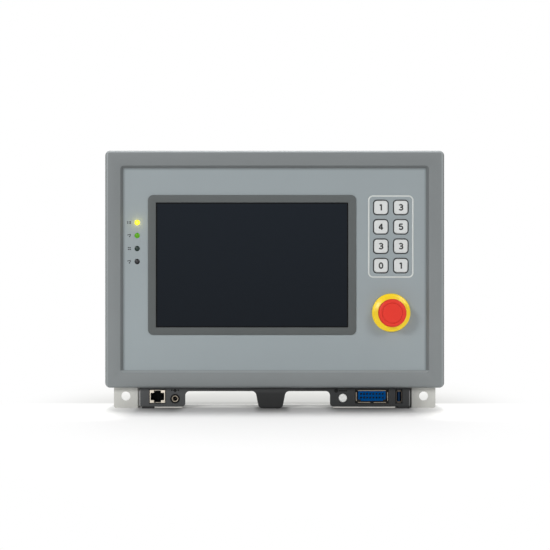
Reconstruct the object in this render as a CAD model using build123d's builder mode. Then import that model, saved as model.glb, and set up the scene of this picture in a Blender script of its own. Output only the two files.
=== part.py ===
from build123d import *
import os

# Operator panel: a framed screen with eight keys, four status lamps and an emergency stop. It stands
# on a port tray with two folded steel brackets.
# Millimetres. +X is right, +Y is to the back, +Z is up, and the front faces -Y. The origin lies on the
# surface that the panel stands on, in the middle of the panel's width and depth.
# A depth is counted backwards from the front face of the frame. Depths in front of it are negative.

# Fits
seat_gap = 0.25  # round a fixed piece that slips into another
slide_gap = 0.3  # round a piece that moves

# Frame
frame_width = 340.0
frame_height = 237.8
frame_depth = 22.0
frame_lower_edge = 21.2  # height above the standing surface
frame_corner = 5.0
frame_edge_round = 2.75
frame_front_wall = 3.2
frame_side_wall = 3.0
rim_side = 17.8  # from the frame's outside to its opening
rim_top = 17.5
opening_corner = 3.0
opening_round = 2.9

# Rear cover
cover_depth = 30.0
cover_inset = 1.5
cover_corner = 6.0
cover_edge_bevel = 3.0
cover_wall = 2.2
cover_lip_wall = 1.2
cover_lip_reach = 3.0
vent_width = 3.5
vent_height = 24.0
vent_pitch = 15.0
vent_count = 8
vent_rise = 78.0
boss_side = 10.6
boss_recess_side = 8.4
boss_recess_depth = 2.8

# Fascia
fascia_thickness = 2.0
fascia_lap = 2.3
board_thickness = 1.6

# Screen
screen_x = -22.7
screen_rise = 4.25  # above the middle of the frame
surround_width = 208.7
surround_height = 140.2
surround_corner = 5.0
surround_proud = 1.2
surround_flange = 2.7
glass_opening_width = 193.0
glass_opening_height = 125.3
glass_overlap = 1.8
glass_thickness = 3.0
surround_lip = 1.4
gasket_thickness = 1.0
gasket_width = 3.0
lcd_overlap = 4.0
lcd_thickness = 6.0
carrier_sheet = 1.2
carrier_height = 112.0
carrier_flange = 6.0
carrier_bend = 1.2
carrier_window_width = 62.0
carrier_window_height = 80.0
carrier_window_pitch = 84.0
standoff_length = 5.4
standoff_flats = 5.5
main_board_width = 198.0
main_board_height = 118.0
board_margin = 6.0
processor_side = 32.0
processor_height = 1.8
memory_drop = 40.0
memory_pitch = 18.0
memory_count = 3
memory_width = 12.0
memory_height = 9.0
memory_thickness = 1.2
heatsink_side = 60.0
heatsink_base = 3.0
fin_height = 13.0
fin_thickness = 1.6
fin_count = 9

# Keys
keypad_x = 116.5
keypad_rise = 32.8
key_pitch_x = 20.0
key_pitch_z = 19.46
key_columns = 2
key_rows = 4
key_width = 13.6
key_height = 13.5
key_corner = 1.9  # cut across each corner of a cap
key_edge = 0.6
key_proud = 2.0  # in front of the fascia
key_travel = 1.2
key_flange = 1.05
key_flange_thickness = 1.0
plunger_side = 3.0
collar_band = 1.1  # the dark ring between a cap and the fascia
collar_sunk = 0.3
collar_corner = 2.5
collar_bore_corner = 2.0
key_hole_corner = 2.55
keymat_thickness = 1.2
trim_width = 45.9
trim_height = 83.0
trim_corner = 5.0
trim_band = 1.8
trim_proud = 0.6
keypad_margin = 0.35
housing_depth = 5.6
switch_side = 6.0
switch_height = 2.8

# Lamps
lamp_x = -138.0
lamp_top_rise = 46.85
lamp_pitch = 13.05
lamp_count = 4
lamp_radius = 2.6
lamp_proud = 0.8
lamp_flange_side = 6.4
lamp_flange_thickness = 1.0
lamp_pipe_side = 3.0
lamp_pipe_length = 4.6
led_width = 3.5
led_height = 2.8
led_thickness = 1.9
lamp_board_width = 12.0
lamp_board_end = 9.5
lamp_post_flats = 4.0
lamp_post_inset = 3.0

# Emergency stop
stop_x = 116.75
stop_drop = 43.55
stop_travel = 4.0
collar_radius = 19.2
collar_side = 3.4
collar_height = 6.2
collar_cone_inner = 13.6
collar_edge = 0.8
bushing_radius = 11.0
bushing_flange_radius = 12.3
bushing_flange_height = 3.2
bushing_rear_depth = 24.0
stem_radius = 5.7
spigot_radius = 4.0
spigot_length = 4.2
head_radius = 14.0
head_height = 6.4
head_press_gap = 0.8  # between the pressed head and the yellow ring
head_bevel = 1.2
head_skirt = 1.4
head_recess_radius = 10.25
head_recess_depth = 1.2
disc_radius = 9.7
disc_edge = 0.3
locknut_flats = 27.0
locknut_height = 4.5
locknut_fit = 0.05
contact_block_edge = 2.0
contact_block_width = 30.0
contact_block_height = 42.0
contact_block_depth = 20.0
terminal_inset = 10.0
terminal_width = 8.0
terminal_height = 7.0
terminal_depth = 3.0
stem_reach = 6.0

# Port tray
tray_width = 272.4
tray_front_depth = 6.0
tray_back_depth = 46.0
tray_wall = 2.0
strip_lower_edge = 17.5
pod_lower_edge = 2.0
pod_floor = 2.1
left_pod_width = 46.3
right_pod_width = 80.6
pod_corner = 3.2
strip_blend = 4.5
pod_draft = 2.8  # how far a pod's inner side leans outwards towards the back
foot_x = -4.1
foot_top_width = 30.5
foot_bottom_width = 23.8
foot_lower_edge = 0.8
foot_corner = 3.0
foot_wall = 2.5
pocket_rib = 2.0
pocket_floor = 2.0
pocket_front_wall = 3.0

# Steel brackets
bracket_sheet = 1.5
bracket_bend = 1.5
bracket_front_depth = 8.0
bracket_back_depth = 44.0
bracket_relief = 2.5
bracket_short = 3.0  # the lower leg stops this far before the pod's inner corner
bracket_top_gap = 0.2
ear_reach = 161.9  # from the middle of the panel
ear_corner = 2.0
bolt_spacing = 300.0
bolt_hole_radius = 4.5
bolt_rise = 12.4
pad_width = 12.0
pad_length = 10.0
pad_inset_left = 2.6
pad_inset_right = 0.5
pad_front_depth = 6.3
pad_back_inset = 1.0
foot_pad_width = 20.0
foot_pad_length = 32.0

# Ports
socket_proud = 0.6
socket_rise = 12.1
socket_height = 12.8
socket_gap = 0.5  # the dark line round each socket in its window
network_x = -117.9
network_width = 15.3
network_length = 20.6
network_wall = 0.7
mouth_width = 13.6
mouth_height = 7.4
mouth_arm_width = 7.0
mouth_cavity_width = 12.2
mouth_cavity_height = 6.9
mouth_cavity_arm_width = 6.6
mouth_cavity_arm_height = 10.8
shield_notch_depth = 2.5
mouth_length = 13.5
network_contacts = 8
network_contact_pitch = 0.77
network_contact_side = 0.4
network_contact_setback = 6.0
power_x = -100.2
power_rise = 9.85
power_nose_radius = 4.5
power_block_width = 9.6
power_block_length = 11.4
power_block_back = 3.0  # solid behind the bore
power_bore_radius = 3.2
power_sleeve_outer = 3.15
power_sleeve_inner = 2.45
power_sleeve_length = 10.4
power_pin_radius = 0.8
power_pin_length = 9.0
button_x = 68.5
button_rise = 10.6
button_radius = 4.1
button_bevel = 0.4
button_proud = 1.2
button_travel = 1.2
button_flange_side = 9.6
button_flange_thickness = 1.2
button_plunger_bite = 1.5
button_switch_width = 8.0
button_switch_length = 4.5
io_x = 97.7
io_width = 32.3
io_length = 18.6
io_wall = 0.8
io_body_width = 27.5
io_body_height = 9.7
io_body_rise = 0.4  # above the middle of the shell
io_body_notch_width = 2.6
io_body_notch_height = 1.5
io_hole_rise = 0.4  # above the middle of the body
io_body_recess = 0.5
io_collar_depth = 3.6
io_columns = 8
io_rows = 2
io_pitch_x = 3.12
io_pitch_z = 3.7
io_hole_side = 1.3
io_contact_side = 1.1
io_contact_recess = 1.6
io_contact_tail = 2.0
io_shell_notch = 3.4
io_shell_notch_depth = 1.5
io_corner_notch = 1.7
usb_x = 124.9
usb_width = 5.8
usb_length = 14.6
usb_wall = 0.5
usb_corner = 1.0
usb_tongue_width = 2.0
usb_tongue_height = 9.2
usb_tongue_recess = 1.0
usb_root_length = 4.0

# Places that follow from the sizes above
opening_width = frame_width - 2 * rim_side
opening_height = frame_height - 2 * rim_top
fascia_depth = frame_front_wall
fascia_back = fascia_depth + fascia_thickness
collar_front = fascia_depth - collar_height
head_back = collar_front - head_press_gap - stop_travel
head_front = head_back - head_height
cover_back = frame_depth + cover_depth
frame_front = -(head_front + cover_back) / 2
frame_mid = frame_lower_edge + frame_height / 2
cover_lower_edge = frame_lower_edge + cover_inset
screen_z = frame_mid + screen_rise
keypad_z = frame_mid + keypad_rise
stop_z = frame_mid - stop_drop
lamp_places = [(lamp_x, frame_mid + lamp_top_rise - lamp_pitch * place) for place in range(lamp_count)]
lamp_mid = frame_mid + lamp_top_rise - lamp_pitch * (lamp_count - 1) / 2
pod_floor_top = pod_lower_edge + pod_floor
port_board_top = pod_floor_top + board_thickness
socket_depth = tray_front_depth - socket_proud
left_pod_inner = -tray_width / 2 + left_pod_width
right_pod_inner = tray_width / 2 - right_pod_width
keymat_back = fascia_back + keymat_thickness
switch_back = keymat_back + housing_depth
glass_depth = fascia_depth - surround_proud + surround_lip
gasket_depth = glass_depth + glass_thickness
lcd_depth = gasket_depth + gasket_thickness
lcd_back = lcd_depth + lcd_thickness
carrier_back = lcd_back + carrier_sheet
board_depth = carrier_back + standoff_length

os.makedirs("parts", exist_ok=True)


def facing(depth):
    """The plane at a depth that faces the viewer, with X to the right and Z up."""
    return Plane(origin=(0, frame_front + depth, 0), x_dir=(1, 0, 0), z_dir=(0, -1, 0))


def slab(depth, thickness, width, height, middle, corner=0.0, mode=Mode.ADD):
    """A plate that faces the viewer, from a depth back, round its middle (x, z)."""
    with BuildSketch(facing(depth)) as outline:
        with Locations(middle):
            if corner > 0:
                RectangleRounded(width, height, corner)
            else:
                Rectangle(width, height)
    extrude(outline.sketch, amount=-thickness, mode=mode)


def rod(depth, length, radius, *middles, mode=Mode.ADD):
    """Round rods or bores of one size that run back from a depth, one at each middle (x, z)."""
    with BuildSketch(facing(depth)) as outline:
        with Locations(*middles):
            Circle(radius)
    extrude(outline.sketch, amount=-length, mode=mode)


def turned(middle, *profile):
    """A body of revolution about a line that runs front to back through (x, z).
    The profile is a list of (depth, radius)."""
    x, z = middle
    with BuildSketch(Plane(origin=(x, frame_front, z), x_dir=(0, 1, 0), z_dir=(1, 0, 0))) as section:
        with BuildLine():
            Polyline(*profile, close=True)
        make_face()
    revolve(section.sketch, axis=Axis((x, frame_front, z), (0, 1, 0)))


def block(x_range, depth_range, z_range, mode=Mode.ADD):
    """A square-edged block between two limits each way."""
    width = x_range[1] - x_range[0]
    length = depth_range[1] - depth_range[0]
    middle = ((x_range[0] + x_range[1]) / 2, frame_front + (depth_range[0] + depth_range[1]) / 2)
    with BuildSketch(Plane.XY.offset(z_range[0])) as outline:
        with Locations(middle):
            Rectangle(width, length)
    extrude(outline.sketch, amount=z_range[1] - z_range[0], mode=mode)


def save(builder, name):
    """Name a finished piece and write it."""
    builder.part.label = name
    export_step(builder.part, f"parts/{name}.step")


# Frame: a moulded tray, open at the back, with a rounded opening at the front
boss_inset = frame_side_wall + seat_gap + cover_lip_wall + seat_gap + boss_side / 2
boss_x = frame_width / 2 - boss_inset
boss_rise = frame_height / 2 - boss_inset
boss_places = [(x, frame_mid + rise) for x in (-boss_x, boss_x) for rise in (-boss_rise, boss_rise)]
frame_hollow = frame_depth - frame_front_wall
with BuildPart() as bezel_frame:
    slab(0, frame_depth, frame_width, frame_height, (0, frame_mid), frame_corner)
    fillet(bezel_frame.faces().sort_by(Axis.Y)[0].edges(), frame_edge_round)
    slab(
        frame_front_wall,
        frame_hollow,
        frame_width - 2 * frame_side_wall,
        frame_height - 2 * frame_side_wall,
        (0, frame_mid),
        mode=Mode.SUBTRACT,
    )
    slab(
        0,
        frame_front_wall,
        opening_width,
        opening_height,
        (0, frame_mid),
        opening_corner,
        mode=Mode.SUBTRACT,
    )
    fillet(bezel_frame.faces().sort_by(Axis.Y)[0].inner_wires()[0].edges(), opening_round)
    for place in boss_places:
        slab(frame_front_wall, frame_hollow, boss_side, boss_side, place)
save(bezel_frame, "bezel_frame")

# Fascia: a plate bonded behind the frame's rim, with a cut-out for each control
fascia_width = opening_width + 2 * fascia_lap
fascia_height = opening_height + 2 * fascia_lap
spigot_width = surround_width - 2 * surround_flange
spigot_height = surround_height - 2 * surround_flange
with BuildPart() as fascia_plate:
    with BuildSketch(facing(fascia_depth)):
        with Locations((0, frame_mid)):
            Rectangle(fascia_width, fascia_height)
        with Locations((screen_x, screen_z)):
            RectangleRounded(
                spigot_width + 2 * seat_gap,
                spigot_height + 2 * seat_gap,
                surround_corner - surround_flange + seat_gap,
                mode=Mode.SUBTRACT,
            )
        with Locations(*lamp_places):
            Circle(lamp_radius + seat_gap, mode=Mode.SUBTRACT)
        with Locations((stop_x, stop_z)):
            Circle(bushing_radius + seat_gap, mode=Mode.SUBTRACT)
    extrude(amount=-fascia_thickness)
    with BuildSketch(facing(fascia_depth)) as key_holes:
        with Locations((keypad_x, keypad_z)):
            with GridLocations(key_pitch_x, key_pitch_z, key_columns, key_rows):
                Rectangle(key_width + 2 * collar_band, key_height + 2 * collar_band)
        chamfer(key_holes.vertices(), key_hole_corner)
    extrude(amount=-fascia_thickness, mode=Mode.SUBTRACT)
save(fascia_plate, "fascia_plate")

# Screen surround: a flange on the fascia and a spigot through it, with a lip over the glass
glass_width = glass_opening_width + 2 * glass_overlap
glass_height = glass_opening_height + 2 * glass_overlap
screen = (screen_x, screen_z)
with BuildPart() as display_surround:
    slab(
        fascia_depth - surround_proud,
        surround_proud,
        surround_width,
        surround_height,
        screen,
        surround_corner,
    )
    chamfer(display_surround.faces().sort_by(Axis.Y)[0].edges(), surround_proud / 3)
    slab(
        fascia_depth,
        lcd_depth - fascia_depth,
        spigot_width,
        spigot_height,
        screen,
        surround_corner - surround_flange,
    )
    slab(
        fascia_depth - surround_proud,
        surround_lip,
        glass_opening_width,
        glass_opening_height,
        screen,
        mode=Mode.SUBTRACT,
    )
    slab(
        glass_depth,
        lcd_depth - glass_depth,
        glass_width + 2 * seat_gap,
        glass_height + 2 * seat_gap,
        screen,
        mode=Mode.SUBTRACT,
    )
save(display_surround, "display_surround")

with BuildPart() as touch_glass:
    slab(glass_depth, glass_thickness, glass_width, glass_height, screen)
save(touch_glass, "touch_glass")

with BuildPart() as display_gasket:
    slab(gasket_depth, gasket_thickness, glass_width, glass_height, screen)
    slab(
        gasket_depth,
        gasket_thickness,
        glass_width - 2 * gasket_width,
        glass_height - 2 * gasket_width,
        screen,
        mode=Mode.SUBTRACT,
    )
save(display_gasket, "display_gasket")

lcd_width = glass_width + 2 * lcd_overlap
lcd_height = glass_height + 2 * lcd_overlap
with BuildPart() as lcd_module:
    slab(lcd_depth, lcd_thickness, lcd_width, lcd_height, screen)
    chamfer(lcd_module.faces().sort_by(Axis.Y)[-1].edges().filter_by(Axis.Z), carrier_bend)
save(lcd_module, "lcd_module")

# Display carrier: one folded sheet over the back of the display, its two feet on the fascia
carrier_half = lcd_width / 2 + seat_gap + carrier_sheet / 2
with BuildPart() as display_carrier:
    with BuildSketch(Plane((screen_x, frame_front, screen_z - carrier_height / 2))):
        with BuildLine():
            FilletPolyline(
                (-carrier_half - carrier_flange, fascia_back + carrier_sheet / 2),
                (-carrier_half, fascia_back + carrier_sheet / 2),
                (-carrier_half, lcd_back + carrier_sheet / 2),
                (carrier_half, lcd_back + carrier_sheet / 2),
                (carrier_half, fascia_back + carrier_sheet / 2),
                (carrier_half + carrier_flange, fascia_back + carrier_sheet / 2),
                radius=carrier_bend,
            )
        trace(line_width=carrier_sheet)
    extrude(amount=carrier_height)
    with BuildSketch(facing(lcd_back)):
        with Locations(screen):
            with GridLocations(carrier_window_pitch, 0, 2, 1):
                Rectangle(carrier_window_width, carrier_window_height)
    extrude(amount=-carrier_sheet, mode=Mode.SUBTRACT)
save(display_carrier, "display_carrier")

# Main board with its processor, on standoffs behind the carrier, and the processor's heatsink
board_hole_x = main_board_width / 2 - board_margin
board_hole_rise = carrier_height / 2 - board_margin
lamp_board_height = lamp_pitch * (lamp_count - 1) + 2 * lamp_board_end
lamp_post_rise = lamp_board_height / 2 - lamp_post_inset
with BuildPart() as board_standoffs:
    with BuildSketch(facing(carrier_back)):
        with Locations(screen):
            with GridLocations(2 * board_hole_x, 2 * board_hole_rise, 2, 2):
                RegularPolygon(standoff_flats / 2, 6, major_radius=False)
    extrude(amount=-standoff_length)
    with BuildSketch(facing(fascia_back)):
        with Locations((lamp_x, lamp_mid)):
            with GridLocations(0, 2 * lamp_post_rise, 1, 2):
                RegularPolygon(lamp_post_flats / 2, 6, major_radius=False)
    extrude(amount=-(switch_back - fascia_back))
save(board_standoffs, "board_standoffs")

with BuildPart() as main_board:
    slab(board_depth, board_thickness, main_board_width, main_board_height, screen)
    slab(board_depth + board_thickness, processor_height, processor_side, processor_side, screen)
    with BuildSketch(facing(board_depth + board_thickness)):
        with Locations((screen_x - heatsink_side, screen_z - memory_drop)):
            with GridLocations(memory_pitch, 0, memory_count, 1):
                Rectangle(memory_width, memory_height)
    extrude(amount=-memory_thickness)
save(main_board, "main_board")

heatsink_depth = board_depth + board_thickness + processor_height
fin_pitch = (heatsink_side - fin_thickness) / (fin_count - 1)
with BuildPart() as heatsink:
    slab(heatsink_depth, heatsink_base, heatsink_side, heatsink_side, screen)
    with BuildSketch(facing(heatsink_depth + heatsink_base)):
        with Locations(screen):
            with GridLocations(fin_pitch, 0, fin_count, 1):
                Rectangle(fin_thickness, heatsink_side)
    extrude(amount=-fin_height)
save(heatsink, "heatsink")

# Keypad: trim ring on the fascia, rubber mat, guide grid, switches and board
keypad = (keypad_x, keypad_z)
mat_width = trim_width + 2 * keypad_margin
mat_height = trim_height + 2 * keypad_margin
with BuildPart() as keypad_trim:
    trim_front = fascia_depth - trim_proud
    slab(trim_front, trim_proud, trim_width, trim_height, keypad, trim_corner)
    slab(
        trim_front,
        trim_proud,
        trim_width - 2 * trim_band,
        trim_height - 2 * trim_band,
        keypad,
        trim_corner - trim_band,
        mode=Mode.SUBTRACT,
    )
save(keypad_trim, "keypad_trim")

# The mat's collars stand in the fascia's holes, and end just below its face
collar_depth = fascia_depth + collar_sunk
collar_length = fascia_back - collar_depth
collar_fit = 2 * (collar_band - seat_gap)
with BuildPart() as keymat:
    slab(fascia_back, keymat_thickness, mat_width, mat_height, keypad)
    with BuildSketch(facing(collar_depth)) as collars:
        with Locations(keypad):
            with GridLocations(key_pitch_x, key_pitch_z, key_columns, key_rows):
                Rectangle(key_width + collar_fit, key_height + collar_fit)
        chamfer(collars.vertices(), collar_corner)
    extrude(amount=-collar_length)
    with BuildSketch(facing(collar_depth)) as openings:
        with Locations(keypad):
            with GridLocations(key_pitch_x, key_pitch_z, key_columns, key_rows):
                Rectangle(key_width + 2 * slide_gap, key_height + 2 * slide_gap)
        chamfer(openings.vertices(), collar_bore_corner)
    extrude(amount=-(collar_length + keymat_thickness), mode=Mode.SUBTRACT)
save(keymat, "keymat")

flange_depth = keymat_back + slide_gap
flange_width = key_width + 2 * key_flange
flange_height = key_height + 2 * key_flange
with BuildPart() as keypad_housing:
    slab(keymat_back, housing_depth, mat_width, mat_height, keypad)
    with BuildSketch(facing(keymat_back)):
        with Locations(keypad):
            with GridLocations(key_pitch_x, key_pitch_z, key_columns, key_rows):
                Rectangle(flange_width + 2 * slide_gap, flange_height + 2 * slide_gap)
    extrude(amount=-housing_depth, mode=Mode.SUBTRACT)
save(keypad_housing, "keypad_housing")

with BuildPart() as key_switches:
    with BuildSketch(facing(switch_back - switch_height)):
        with Locations(keypad):
            with GridLocations(key_pitch_x, key_pitch_z, key_columns, key_rows):
                Rectangle(switch_side, switch_side)
    extrude(amount=-switch_height)
    with BuildSketch(facing(switch_back - switch_height)):
        with Locations(keypad):
            with GridLocations(key_pitch_x, key_pitch_z, key_columns, key_rows):
                Rectangle(plunger_side + 2 * slide_gap, plunger_side + 2 * slide_gap)
    extrude(amount=-(switch_height - slide_gap), mode=Mode.SUBTRACT)
save(key_switches, "key_switches")

with BuildPart() as keypad_board:
    slab(switch_back, board_thickness, mat_width, mat_height, keypad)
save(keypad_board, "keypad_board")

# Key caps: a cap with a bevelled edge, a flange that holds it behind the mat, and a switch plunger
key_front = fascia_depth - key_proud
plunger_end = switch_back - slide_gap - key_travel - slide_gap


def make_key(name, middle):
    """One key cap at its middle (x, z)."""
    with BuildPart() as key:
        slab(key_front, flange_depth - key_front, key_width, key_height, middle)
        chamfer(key.edges().filter_by(Axis.Y), key_corner)
        chamfer(key.faces().sort_by(Axis.Y)[0].edges(), key_edge)
        slab(flange_depth, key_flange_thickness, flange_width, flange_height, middle)
        plunger_depth = flange_depth + key_flange_thickness
        slab(plunger_depth, plunger_end - plunger_depth, plunger_side, plunger_side, middle)
    save(key, name)


for row in range(key_rows):
    key_z = keypad_z + key_pitch_z * ((key_rows - 1) / 2 - row)
    make_key(f"key_{row + 1}_left", (keypad_x - key_pitch_x / 2, key_z))
    make_key(f"key_{row + 1}_right", (keypad_x + key_pitch_x / 2, key_z))


# Status lamps: pointed lenses with a light pipe, each in front of its own diode
def make_lens(name, middle):
    """One lamp lens at its middle (x, z)."""
    with BuildPart() as lens:
        turned(
            middle,
            (fascia_depth - lamp_proud, 0),
            (fascia_depth, lamp_radius),
            (fascia_back, lamp_radius),
            (fascia_back, 0),
        )
        slab(fascia_back, lamp_flange_thickness, lamp_flange_side, lamp_flange_side, middle)
        slab(fascia_back, lamp_pipe_length, lamp_pipe_side, lamp_pipe_side, middle)
    save(lens, name)


for place in range(lamp_count):
    make_lens(f"lamp_lens_{place + 1}", lamp_places[place])

with BuildPart() as status_leds:
    with BuildSketch(facing(switch_back - led_thickness)):
        with Locations(*lamp_places):
            Rectangle(led_width, led_height)
    extrude(amount=-led_thickness)
save(status_leds, "status_leds")

with BuildPart() as lamp_board:
    slab(switch_back, board_thickness, lamp_board_width, lamp_board_height, (lamp_x, lamp_mid))
save(lamp_board, "lamp_board")

# Emergency stop, turned about its own line
stop = (stop_x, stop_z)
flange_back_depth = collar_front + bushing_flange_height + head_press_gap
collar_side_depth = fascia_depth - collar_side
bushing_hole = bushing_radius + seat_gap
collar_counterbore = bushing_flange_radius + seat_gap
with BuildPart() as estop_collar:
    turned(
        stop,
        (fascia_depth, collar_radius),
        (collar_side_depth, collar_radius),
        (collar_side_depth - collar_edge, collar_radius - collar_edge),
        (collar_front, collar_cone_inner),
        (collar_front, collar_counterbore),
        (flange_back_depth, collar_counterbore),
        (flange_back_depth, bushing_hole),
        (fascia_depth, bushing_hole),
    )
save(estop_collar, "estop_collar")

stem_bore = stem_radius + slide_gap
with BuildPart() as estop_bushing:
    turned(
        stop,
        (flange_back_depth - bushing_flange_height, stem_bore),
        (flange_back_depth - bushing_flange_height, bushing_flange_radius),
        (flange_back_depth, bushing_flange_radius),
        (flange_back_depth, bushing_radius),
        (bushing_rear_depth, bushing_radius),
        (bushing_rear_depth, stem_bore),
    )
save(estop_bushing, "estop_bushing")

with BuildPart() as estop_locknut:
    with BuildSketch(facing(fascia_back)):
        with Locations(stop):
            RegularPolygon(locknut_flats / 2, 6, major_radius=False)
            Circle(bushing_radius + locknut_fit, mode=Mode.SUBTRACT)
    extrude(amount=-locknut_height)
save(estop_locknut, "estop_locknut")

contact_block_back = bushing_rear_depth + contact_block_depth
stem_back = bushing_rear_depth + stem_reach
with BuildPart() as estop_contact_block:
    slab(bushing_rear_depth, contact_block_depth, contact_block_width, contact_block_height, stop)
    chamfer(estop_contact_block.edges().filter_by(Axis.Y), contact_block_edge)
    rod(
        bushing_rear_depth,
        stem_reach + stop_travel + slide_gap,
        stem_bore,
        stop,
        mode=Mode.SUBTRACT,
    )
    with BuildSketch(facing(contact_block_back)):
        with Locations(stop):
            with GridLocations(contact_block_width / 2, contact_block_height - terminal_inset, 2, 2):
                Rectangle(terminal_width, terminal_height)
    extrude(amount=terminal_depth, mode=Mode.SUBTRACT)
save(estop_contact_block, "estop_contact_block")

spigot_front = head_back - spigot_length
with BuildPart() as estop_stem:
    turned(
        stop,
        (spigot_front + slide_gap, 0),
        (spigot_front + slide_gap, spigot_radius),
        (head_back + slide_gap, spigot_radius),
        (head_back + slide_gap, stem_radius),
        (stem_back, stem_radius),
        (stem_back, 0),
    )
save(estop_stem, "estop_stem")

recess_floor = head_front + head_recess_depth
with BuildPart() as estop_head:
    turned(
        stop,
        (recess_floor, 0),
        (recess_floor, head_recess_radius),
        (head_front, head_recess_radius),
        (head_front, head_radius - head_bevel),
        (head_front + head_bevel, head_radius),
        (head_back - head_skirt, head_radius),
        (head_back, head_radius - 2 * head_skirt),
        (head_back, spigot_radius + slide_gap),
        (spigot_front, spigot_radius + slide_gap),
        (spigot_front, 0),
    )
save(estop_head, "estop_head")

with BuildPart() as estop_cap_disc:
    turned(
        stop,
        (head_front, 0),
        (head_front, disc_radius - disc_edge),
        (head_front + disc_edge, disc_radius),
        (recess_floor, disc_radius),
        (recess_floor, 0),
    )
save(estop_cap_disc, "estop_cap_disc")

# Rear cover: a vented shell with a lip inside the frame and a screw boss at each corner
cover_width = frame_width - 2 * cover_inset
cover_height = frame_height - 2 * cover_inset
lip_width = frame_width - 2 * (frame_side_wall + seat_gap)
lip_height = frame_height - 2 * (frame_side_wall + seat_gap)
middle = (0, frame_mid)
with BuildPart() as rear_shell:
    slab(frame_depth, cover_depth, cover_width, cover_height, middle, cover_corner)
    chamfer(rear_shell.faces().sort_by(Axis.Y)[-1].edges(), cover_edge_bevel)
    slab(
        frame_depth,
        cover_depth - cover_wall,
        cover_width - 2 * cover_wall,
        cover_height - 2 * cover_wall,
        middle,
        mode=Mode.SUBTRACT,
    )
    slab(
        frame_depth - cover_lip_reach,
        cover_lip_reach + cover_wall,
        lip_width,
        lip_height,
        middle,
    )
    slab(
        frame_depth - cover_lip_reach,
        cover_lip_reach + cover_wall,
        lip_width - 2 * cover_lip_wall,
        lip_height - 2 * cover_lip_wall,
        middle,
        mode=Mode.SUBTRACT,
    )
    for place in boss_places:
        slab(frame_depth, cover_depth - cover_wall, boss_side, boss_side, place)
        slab(
            cover_back - boss_recess_depth,
            boss_recess_depth,
            boss_recess_side,
            boss_recess_side,
            place,
            mode=Mode.SUBTRACT,
        )
    with BuildSketch(facing(cover_back - cover_wall)):
        with Locations(middle):
            with GridLocations(vent_pitch, 2 * vent_rise, vent_count, 2):
                Rectangle(vent_width, vent_height)
    extrude(amount=-cover_wall, mode=Mode.SUBTRACT)
save(rear_shell, "rear_shell")

# Port tray: a strip under the frame with two port pods and a tapered centre foot
tray_top = cover_lower_edge
left_cavity = (-tray_width / 2 + tray_wall, left_pod_inner - pod_draft - tray_wall)
right_cavity = (right_pod_inner + pod_draft + tray_wall, tray_width / 2 - tray_wall)
cavity_depths = (tray_front_depth + tray_wall, tray_back_depth - tray_wall)


def foot_outline(inset, lower, upper):
    """The centre foot's tapered outline, moved in by an inset, between two heights."""
    taper = (foot_top_width - foot_bottom_width) / 2 / (strip_lower_edge - foot_lower_edge)
    low = foot_bottom_width / 2 - inset + taper * (lower - foot_lower_edge)
    high = foot_bottom_width / 2 - inset + taper * (upper - foot_lower_edge)
    with BuildLine() as line:
        Polyline(
            (foot_x - high, upper),
            (foot_x - low, lower),
            (foot_x + low, lower),
            (foot_x + high, upper),
            close=True,
        )
    return line.line


def pod_outline(depth, side, inner_x, reach_x):
    """A pod's outline at a depth, with a stub of the strip beyond its inner side."""
    outer_x = side * tray_width / 2
    with BuildSketch(facing(depth)) as outline:
        with BuildLine():
            Polyline(
                (outer_x, tray_top),
                (outer_x, pod_lower_edge),
                (inner_x, pod_lower_edge),
                (inner_x, strip_lower_edge),
                (reach_x, strip_lower_edge),
                (reach_x, tray_top),
                close=True,
            )
        make_face()
        outer_end = 0 if side < 0 else -1
        inner_end = -1 if side < 0 else 0
        fillet(corners_at(outline, pod_lower_edge)[outer_end], bracket_bend)
        fillet(corners_at(outline, pod_lower_edge)[inner_end], pod_corner)
        fillet(corners_at(outline, strip_lower_edge)[outer_end], strip_blend)
    return outline.sketch


def corners_at(outline, height):
    """The corners of an outline at one height, from left to right."""
    low = height - seat_gap
    high = height + seat_gap
    return outline.vertices().filter_by_position(Axis.Y, low, high).sort_by(Axis.X)


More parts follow.
